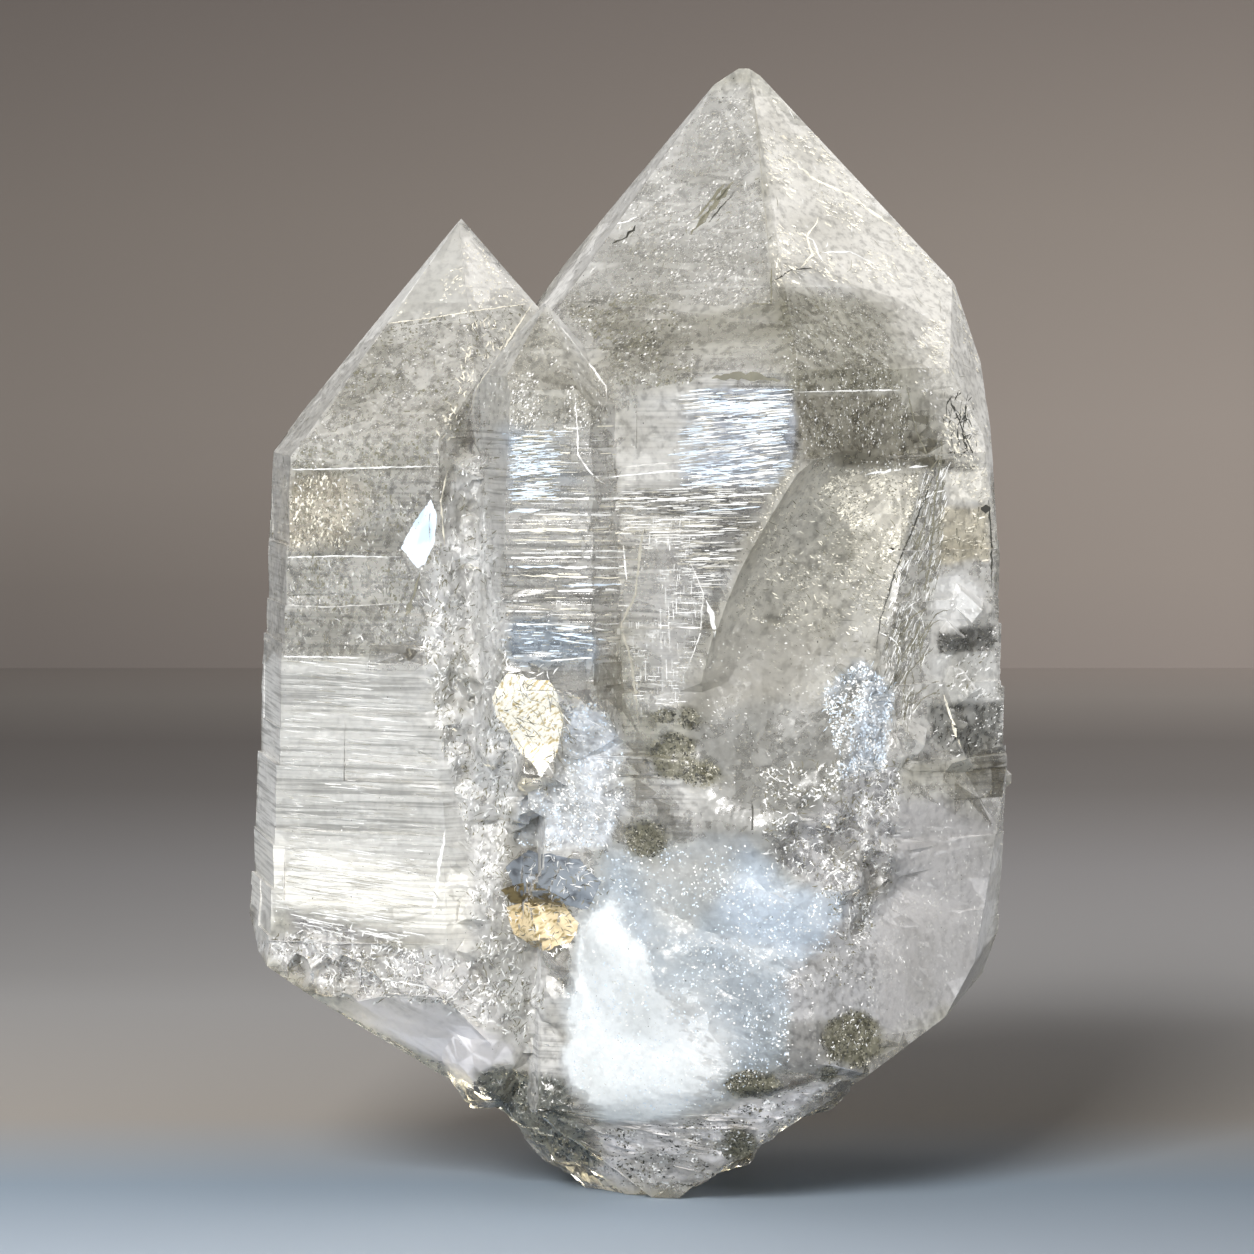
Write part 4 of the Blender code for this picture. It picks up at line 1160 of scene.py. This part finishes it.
# Growth lines on the small front crystal and beside it, most drawn bright as painted highlights: colour,
# first column and row, last column and row, width in pixels
GROWTH_LINE_HIGHLIGHTS = (
    ("white", 549, 499, 658, 498, 3.4),
    ("white", 658, 500, 772, 493, 4.0),
    ("blue", 690, 512, 760, 507, 2.4),
    ("blue", 508, 512, 540, 510, 5.0),
    ("white", 533, 514, 624, 515, 3.4),
    ("cream", 483, 531, 592, 530, 5.0),
    ("cream", 592, 532, 622, 533, 2.4),
    ("cream", 500, 540, 620, 541, 1.6),
    ("white", 545, 551, 624, 551, 2.6),
    ("white", 486, 558, 622, 557, 3.0),
    ("blue", 505, 567, 560, 566, 4.0),
    ("white", 558, 567, 622, 568, 3.4),
    ("cream", 480, 579, 520, 575, 3.4),
    ("cream", 520, 575, 620, 578, 3.6),
    ("blue", 562, 586, 620, 584, 3.6),
    ("white", 558, 591, 618, 590, 4.0),
    ("white", 498, 601, 530, 601, 2.4),
    ("white", 488, 610, 549, 612, 2.6),
    ("cream", 575, 615, 612, 614, 2.0),
    ("white", 484, 623, 560, 625, 2.4),
    ("white", 560, 625, 608, 630, 2.4),
    ("blue", 545, 632, 605, 640, 3.0),
    ("blue", 560, 640, 600, 646, 2.2),
    ("white", 542, 661, 598, 657, 2.4),
    ("white", 484, 512, 486, 572, 2.4),
    ("white", 623, 545, 626, 580, 3.0),
    ("white", 505, 500, 503, 530, 1.6),
    ("white", 497, 452, 556, 442, 1.8),
    ("blue", 500, 462, 548, 455, 2.4),
    ("blue", 512, 474, 560, 470, 3.0),
    ("white", 508, 488, 560, 482, 2.2),
    ("blue", 512, 494, 548, 494, 8.0),
    ("white", 697, 453, 740, 447, 2.4),
    ("white", 740, 447, 782, 436, 2.0),
    ("blue", 700, 410, 782, 404, 3.0),
    ("white", 694, 424, 786, 418, 2.0),
    ("white", 721, 478, 779, 472, 4.0),
    ("white", 745, 466, 782, 461, 3.4),
    ("white", 700, 485, 768, 482, 2.2),
    ("blue", 700, 468, 735, 476, 4.0),
    ("white", 684, 526, 716, 525, 4.0),
    ("white", 684, 536, 730, 533, 2.4),
    ("white", 690, 559, 735, 558, 3.0),
    ("grey", 700, 566, 733, 566, 1.6),
    ("grey", 700, 581, 726, 580, 1.6),
    ("white", 676, 603, 702, 603, 1.8),
    ("white", 672, 613, 703, 612, 1.8),
    ("white", 676, 627, 702, 628, 2.6),
    ("white", 660, 606, 661, 650, 1.4),
    ("white", 668, 600, 669, 646, 1.4),
    ("grey", 612, 468, 690, 461, 1.8),
    ("white", 600, 478, 680, 470, 2.0),
)
# The lines are drawn thinner than they were measured
LINE_THIN = 0.7

# Short curly threads on the front: outline, colour, how many, shortest and longest in pixels, width
# in pixels, angle from level in degrees or None for any, how much they bend, depth in mm
THREADS = (
    (JOINT_LINE, "white", 430, 5, 18, 1.5, 62, 0.5, -0.015),
    (JOINT_LINE, "olive", 300, 5, 18, 1.5, 62, 0.5, -0.012),
    (LEFT_SPARKLING_EDGE, "white", 280, 5, 18, 1.7, None, 0.6, -0.015),
    (LEFT_SPARKLING_EDGE, "olive", 110, 5, 16, 1.5, None, 0.6, -0.012),
    (BROKEN_RIGHT, "white", 190, 5, 16, 1.5, None, 0.6, -0.015),
    (BROKEN_RIGHT, "olive", 150, 5, 16, 1.5, None, 0.5, -0.012),
    (FIBROUS_STRIP, "white", 30, 10, 40, 1.2, 68, 0.14, -0.012),
    (FIBROUS_STRIP, "olive", 70, 10, 44, 1.5, 68, 0.14, -0.012),
    (CONTACT_UPPER, "olive", 60, 4, 14, 1.2, -24, 0.3, -0.012),
    (CONTACT_UPPER, "cream", 90, 4, 14, 1.3, -24, 0.3, -0.012),
    (CREAM_SHOULDER, "taupe", 35, 6, 22, 1.1, -50, 0.25, -0.012),
    (CREAM_SHOULDER, "white", 30, 5, 16, 1.4, -50, 0.3, -0.012),
    (GREY_FACE, "white", 16, 5, 16, 1.2, 50, 0.2, -0.012),
    (GREY_FACE, "olive", 30, 4, 12, 1.1, 50, 0.3, -0.012),
    (MOTTLED_PATCH, "olive", 50, 4, 10, 1.3, None, 0.6, -0.012),
    (LEFT_FLECKED, "olive", 110, 4, 12, 1.2, None, 0.4, -0.012),
    (LEFT_MIDDLE, "white", 50, 4, 16, 1.1, -60, 0.3, -0.012),
    (LEFT_MIDDLE, "olive", 110, 4, 16, 1.2, -60, 0.3, -0.012),
    (FEATHERY_DARK, "dark", 34, 6, 24, 1.5, 72, 0.25, -0.012),
    (CREAM_SPARKS, "cream", 70, 4, 14, 1.8, 80, 0.4, -0.015),
    (SMOKY_FOOT, "white", 26, 5, 18, 1.1, -60, 0.3, -0.012),
    (CRUMBLY_PATCH, "blue", 60, 4, 10, 1.8, None, 0.6, -0.015),
    (WHITE_SPARKLE, "white", 60, 4, 12, 1.6, None, 0.6, -0.015),
    (CREAM_BLOCK, "taupe", 40, 8, 30, 1.2, -52, 0.12, -0.045),
    (AROUND_CREAM, "white", 80, 5, 16, 1.5, None, 0.5, -0.045),
    (AROUND_CREAM, "olive", 60, 5, 16, 1.4, -50, 0.4, -0.045),
    (CREAM_BLOCK, "white", 26, 6, 20, 1.3, -52, 0.2, -0.045),
    (GOLD_BLOCK, "olive", 22, 5, 18, 1.4, -25, 0.4, -0.045),
    (AROUND_GOLD, "white", 70, 5, 14, 1.4, None, 0.5, -0.045),
    (AROUND_GOLD, "olive", 60, 5, 14, 1.4, None, 0.5, -0.045),
    (GOLD_BLOCK, "white", 14, 4, 12, 1.4, None, 0.5, -0.045),
    (BLUE_LENS, "white", 16, 5, 16, 1.2, 15, 0.4, -0.045),
    (BLUE_LENS, "dark", 12, 5, 16, 1.2, 15, 0.3, -0.045),
)
THREAD_STEP = 3.0


def growth_line_highlights(ground, heap):
    """Growth lines on the front, as ribbons with painted highlights where they catch the light."""
    rng = np.random.default_rng(21)
    for kind, *ends, width in GROWTH_LINE_HIGHLIGHTS:
        seam(ground, heap, kind, (ends[:2], ends[2:]), width * LINE_THIN, SEAM_DEPTH, rng, step=6.0)


def threads(ground, heap):
    """Short curly cracks and hairs on the front, zone by zone."""
    rng = np.random.default_rng(22)
    for outline, kind, count, shortest, longest, width, angle, bend, depth in THREADS:
        for start in places_inside(outline, count, 4, rng):
            steps = max(3, int(rng.uniform(shortest, longest) / THREAD_STEP))
            heading = rng.uniform(0, math.pi) if angle is None else math.radians(angle) + rng.normal(0, 0.25)
            headings = heading + np.cumsum(rng.normal(0, bend, steps))
            moves = np.stack([np.cos(headings), -np.sin(headings)], 1) * THREAD_STEP
            seam(ground, heap, kind, start + np.cumsum(moves, 0), width, depth, rng, step=THREAD_STEP)


# Minerals: name, column and row, radius in pixels, shares of it in width, depth and height, and how
# deep the middle lies in metres
INCLUSIONS = (
    ("bead", 689, 719, 11, (1, 0.5, 1), 0.0006),
    ("squiggle", 664, 716, 10, (1.2, 0.4, 0.7), 0.0005),
    ("upper_knot", 672, 756, 25, (1, 0.4, 1), 0.0011),
    ("upper_tail", 700, 774, 17, (1.2, 0.4, 0.8), 0.0009),
    ("lower_knot", 646, 838, 22, (1, 0.4, 0.9), 0.0010),
    ("base_knot", 851, 1040, 30, (1.05, 0.4, 1.0), 0.0011),
    ("base_bead", 828, 1074, 9, (1, 0.5, 1), 0.0005),
    ("base_brown", 752, 1084, 24, (1.2, 0.4, 0.6), 0.0010),
    ("edge_brown", 738, 1146, 19, (1, 0.4, 0.9), 0.0010),
)

# Flat breaks: name, outline, darkest and lightest colour, length and width of their streaks in mm, how
# steeply the streaks fall to the right in degrees, and how far the edge strays in pixels
PATCHES = (
    ("blue_diamond", ((430, 499), (437, 515), (434, 543), (424, 564), (417, 569), (400, 548), (412, 525)),
     (0.50, 0.63, 0.78), (0.74, 0.82, 0.90), 3.0, 1.5, 60, 0.6),
    ("cream_block", CREAM_BLOCK, (0.46, 0.36, 0.17), (0.88, 0.84, 0.72), 2.6, 0.24, 52, 2.0),
    ("gold_block", GOLD_BLOCK, (0.24, 0.18, 0.07), (0.66, 0.54, 0.34), 1.4, 0.40, 25, 2.4),
    ("blue_lens", BLUE_LENS, (0.09, 0.10, 0.115), (0.20, 0.225, 0.255), 2.4, 0.8, -10, 2.4),
    ("brown_lens", BROWN_LENS, (0.04, 0.03, 0.02), (0.15, 0.12, 0.06), 1.5, 0.4, 0, 1.6),
)

# Seams and cracks on the front: colour, places along the line, width in pixels
SEAMS = (
    ("dark", ((935, 468), (916, 520), (895, 570), (880, 620), (875, 655)), 2.2),
    ("olive", ((942, 450), (934, 500), (930, 560), (922, 600)), 3.0),
    ("dark", ((988, 500), (991, 545), (991, 588)), 3.0),
    ("dark", ((980, 508), (989, 509)), 9.0),
    ("dark", ((950, 400), (960, 425), (968, 455)), 3.5),
    ("dark", ((967, 395), (962, 430), (975, 460)), 2.4),
    ("taupe", ((650, 514), (641, 537), (635, 595), (620, 627), (631, 662), (639, 729)), 3.0),
    ("olive", ((906, 385), (915, 430), (930, 462)), 2.4),
    ("white", ((484, 500), (483, 590)), 1.6),
    ("pale", ((547, 326), (553, 318), (580, 352), (606, 387), (606, 398)), 2.2),
    ("pale", ((574, 395), (577, 430), (577, 454), (590, 473), (606, 486)), 1.8),
    ("pale", ((689, 560), (703, 593), (700, 633), (687, 669)), 1.3),
    ("white", ((445, 830), (438, 870), (432, 920)), 4.0),
    ("white", ((268, 470), (330, 469), (440, 466)), 1.8),
    ("white", ((262, 558), (340, 556), (400, 557)), 1.4),
    ("grey", ((258, 605), (330, 607), (400, 603)), 1.4),
    ("white", ((254, 656), (310, 657), (368, 658)), 1.8),
    ("cream", ((943, 695), (952, 725), (962, 753)), 4.0),
    ("cream", ((447, 470), (440, 500), (444, 545)), 2.4),
    ("olive", ((420, 572), (412, 600), (404, 618)), 5.0),
    ("cream", ((375, 325), (430, 318), (480, 310), (532, 303)), 1.6),
    ("grey", ((380, 331), (430, 323), (500, 313)), 1.4),
    ("olive", ((733, 181), (718, 200), (705, 216), (690, 234)), 7.0),
    ("olive", ((724, 184), (708, 204), (694, 220)), 4.0),
    ("dark", ((735, 190), (722, 206), (708, 222)), 2.0),
    ("olive", ((712, 378), (745, 376), (780, 381)), 8.0),
    ("pale", ((792, 392), (840, 391), (905, 390)), 1.6),
    ("dark", ((728, 188), (712, 206), (699, 222)), 1.6),
    ("dark", ((636, 226), (625, 238), (612, 243)), 3.4),
    ("white", ((640, 214), (628, 222), (612, 224)), 2.4),
    ("cream", ((818, 218), (806, 238), (812, 254), (800, 268)), 3.4),
    ("white", ((800, 232), (812, 240), (822, 262)), 2.4),
    ("cream", ((790, 160), (815, 180), (850, 196), (900, 232)), 5.0),
    ("white", ((822, 252), (850, 252), (880, 268)), 3.0),
    ("dark", ((770, 283), (790, 270), (812, 268)), 2.0),
    ("olive", ((771, 263), (771, 304), (745, 304)), 2.0),
    ("taupe", ((751, 87), (756, 116), (762, 187), (770, 263)), 0.8),
    ("cream", ((532, 303), (505, 345), (478, 385), (470, 410)), 1.8),
    ("white", ((706, 600), (712, 618), (714, 637)), 5.0),
    ("white", ((371, 977), (410, 984), (454, 993)), 2.0),
    ("dark", ((752, 804), (752, 834)), 2.0),
    ("white", ((865, 474), (899, 470)), 3.0),
    ("white", ((909, 467), (928, 466)), 3.0),
)
# How deep sheets lie under the front in metres, and seams in mm: below zero they stand proud of it
PATCH_DEPTH = -0.03 * MM
SEAM_DEPTH = -0.015
# How far apart the points of a sheet are, in pixels
PATCH_PITCH = 3.0

# How finely a lump is cut, how much of the way to the surface it may fill, and how many lumps of each
# kind the milky quartz has
LUMP_DETAIL = 4
LUMP_ROOM = 0.94
MILKY_CORES = 8
MILKY_LUMPS = 10


def milky_core(ground):
    """White cloudy quartz inside the lower front: a pointed core and softer lumps round it."""
    white = mineral_material("milky_white", (0.86, 0.89, 0.92), (1.0, 1.0, 1.0), 500.0, 0.6)
    pale_blue = mineral_material("milky_blue", (0.52, 0.58, 0.64), (0.74, 0.82, 0.90), 700.0, 0.6)
    for number in range(MILKY_CORES):
        share = number / (MILKY_CORES - 1)
        column, row = 612 + 16 * share + 14 * math.sin(number * 2.1), 925 + 165 * share
        lump(ground, f"milky_core_{number}", column, row, 18 + 28 * share, (1, 0.5, 1.2), 5 * MM, white,
             number + 3)
    rng = np.random.default_rng(12)
    tries = rng.uniform((590, 870), (830, 1100), (200, 2))
    tries = tries[inside_by(tries, MILKY_CLOUD) > 25][:MILKY_LUMPS]
    for number, (column, row) in enumerate(tries):
        radius = rng.uniform(20, 32)
        lump(ground, f"milky_lump_{number}", column, row, radius, (1.1, 0.5, 1), 6 * MM, pale_blue,
             number + 31)


def minerals(ground, heap):
    """Coloured minerals and flat breaks that the front of the crystal shows inside it."""
    brown = mineral_material("olive_mineral", (0.035, 0.030, 0.012), (0.17, 0.155, 0.09), 800.0, 0.35)
    for number, (name, column, row, radius, squash, depth) in enumerate(INCLUSIONS):
        lump(ground, f"mineral_{name}", column, row, radius, squash, depth, brown, number + 1)
    rng = np.random.default_rng(5)
    for name, outline, dark, light, length, width, fall, stray in PATCHES:
        material = streaked_material(name, dark, light, length, width, fall, 0.35)
        patch(ground, name, uneven(outline, stray, rng), material)
    for kind, line, width in SEAMS:
        seam(ground, heap, kind, line, width, SEAM_DEPTH, rng)


# Stage, light and camera

# The backdrop stands further back than the camera of any view. How far back it is, and how high.
WALL_PLACE = 0.75
WALL_HEIGHT = 0.6
STAGE_SIZE = 3.0
# How far to the sides the tones of the stage change, in metres, and where along the floor or wall
# the sides' shares go from the near pair to the far pair. These shares are painted shade: the floor is
# darker on the right near the crystal as a painted shadow and darker far to the left, and the wall is darker
# to the left.
STAGE_SIDE = 0.12
NEAR_END = 0.12
FAR_START = 0.28
# Tones of the floor from the camera to the wall, and of the wall upwards: place in metres and colour.
# They hold painted shade: a darker blue band along the crystal's foot is a painted shadow, the floor darkens
# before the wall, and the wall darkens towards the top
FLOOR_TONE_AND_SHADE = ((-0.05, (0.62, 0.71, 0.83)), (0.0, (0.385, 0.48, 0.59)), (0.045, (0.53, 0.49, 0.45)),
               (0.14, (0.63, 0.62, 0.62)), (0.30, (0.53, 0.515, 0.525)), (0.44, (0.385, 0.36, 0.35)),
               (0.54, (0.37, 0.34, 0.325)), (0.66, (0.59, 0.545, 0.51)), (0.75, (0.63, 0.565, 0.525)))
WALL_TONE_AND_SHADE = ((0.0, (0.44, 0.388, 0.36)), (0.02, (0.488, 0.429, 0.389)), (0.05, (0.50, 0.44, 0.398)),
              (0.09, (0.435, 0.38, 0.34)), (0.135, (0.315, 0.272, 0.247)))
# Tones of the room's light from below to above, and how strong it is
ROOM_TONES = ((0.0, (0.35, 0.34, 0.33)), (0.55, (0.9, 0.9, 0.9)), (1.0, (1, 1, 1)))
ROOM_STRENGTH = 0.26
# Where the lights aim. Lights: name, place, width and height, watts, colour, and whether they light
# the crystal alone.
LIGHT_TARGET = Vector((0, 0, 0.045))
LIGHTS = (
    ("key_left", (-0.29, -0.82, 0.50), (0.36, 0.36), 13.0, (1.0, 0.985, 0.96), False),
    ("card_right", (0.50, -0.36, 0.09), (0.24, 0.12), 1.9, (1.0, 0.99, 0.97), True),
    ("soft_back", (0.20, 0.70, 0.60), (0.40, 0.40), 16.0, (1.0, 0.99, 0.97), True),
)


def stage():
    """A pale floor and a soft grey backdrop, both with painted shade, and a painted shadow on the floor."""
    # Painted shadow: the floor is darker on the right near the crystal; painted shade darkens it far to the
    # left
    floor_material = stage_material("pale_floor", FLOOR_TONE_AND_SHADE, "Y", (1.0, 0.46), (0.55, 1.0))
    bpy.ops.mesh.primitive_plane_add(size=STAGE_SIZE, location=(0, 0, -0.05 * MM))
    floor = bpy.context.object
    floor.name = "floor"
    floor.data.materials.append(floor_material)
    # Painted shade: the wall is darker to the left
    wall_material = stage_material("backdrop", WALL_TONE_AND_SHADE, "Z", (0.52, 1.0), (0.62, 1.0))
    bpy.ops.mesh.primitive_plane_add(size=STAGE_SIZE, location=(0, WALL_PLACE, WALL_HEIGHT / 2 - 0.01),
                                     rotation=(math.radians(90), 0, 0))
    wall = bpy.context.object
    wall.scale.y = WALL_HEIGHT / STAGE_SIZE
    bpy.ops.object.transform_apply(location=True, rotation=True, scale=True)
    wall.name = "backdrop"
    wall.data.materials.append(wall_material)


def area_light(name, place, size, power, colour):
    """A soft box at a place, turned to the crystal."""
    data = bpy.data.lights.new(name, "AREA")
    data.shape = "RECTANGLE"
    data.size, data.size_y = size
    data.energy = power
    data.color = colour
    light = bpy.data.objects.new(name, data)
    light.location = place
    light.rotation_euler = (LIGHT_TARGET - Vector(place)).to_track_quat("-Z", "Y").to_euler()
    bpy.context.scene.collection.objects.link(light)
    return light


def light_scene():
    """A soft key light from the front left and a dim room, and for the crystal alone a low card at the
    right and a soft light behind."""
    world = bpy.data.worlds.new("studio")
    bpy.context.scene.world = world
    world.use_nodes = True
    tree = world.node_tree
    way = new_node(tree, "TexCoord", {}).outputs["Generated"]
    height = new_node(tree, "SeparateXYZ", {"Vector": way}).outputs["Z"]
    set_inputs(tree, tree.nodes["Background"],
               {"Color": ramp(tree, height, ROOM_TONES), "Strength": ROOM_STRENGTH})
    for *values, alone in LIGHTS:
        light = area_light(*values)
        if alone:
            light.light_linking.receiver_collection = pieces


def camera():
    """The photograph's view: nearly level, from straight ahead, with a long lens."""
    data = bpy.data.cameras.new("camera")
    data.sensor_fit = "HORIZONTAL"
    data.angle = 2 * math.atan(PHOTO_SIDE * PIXEL / 2 / CAMERA_DISTANCE)
    data.clip_start = 0.01
    result = bpy.data.objects.new("camera", data)
    result.location = CAMERA_PLACE
    result.rotation_euler = CAMERA_AHEAD.to_track_quat("-Z", "Y").to_euler()
    bpy.context.scene.collection.objects.link(result)
    bpy.context.scene.camera = result


scene = bpy.context.scene
scene.view_settings.view_transform = "Standard"
scene.cycles.max_bounces = 5
scene.cycles.transmission_bounces = 5
scene.cycles.glossy_bounces = 3
scene.cycles.diffuse_bounces = 2
pieces = bpy.data.collections.new("crystal")
scene.collection.children.link(pieces)
ground = Ground(*crystal_body())
heap = FlakeHeap()
front_flakes(ground, heap)
scattered_flakes(ground, heap)
growth_line_highlights(ground, heap)
threads(ground, heap)
milky_core(ground)
minerals(ground, heap)
heap.make()
stage()
light_scene()
camera()
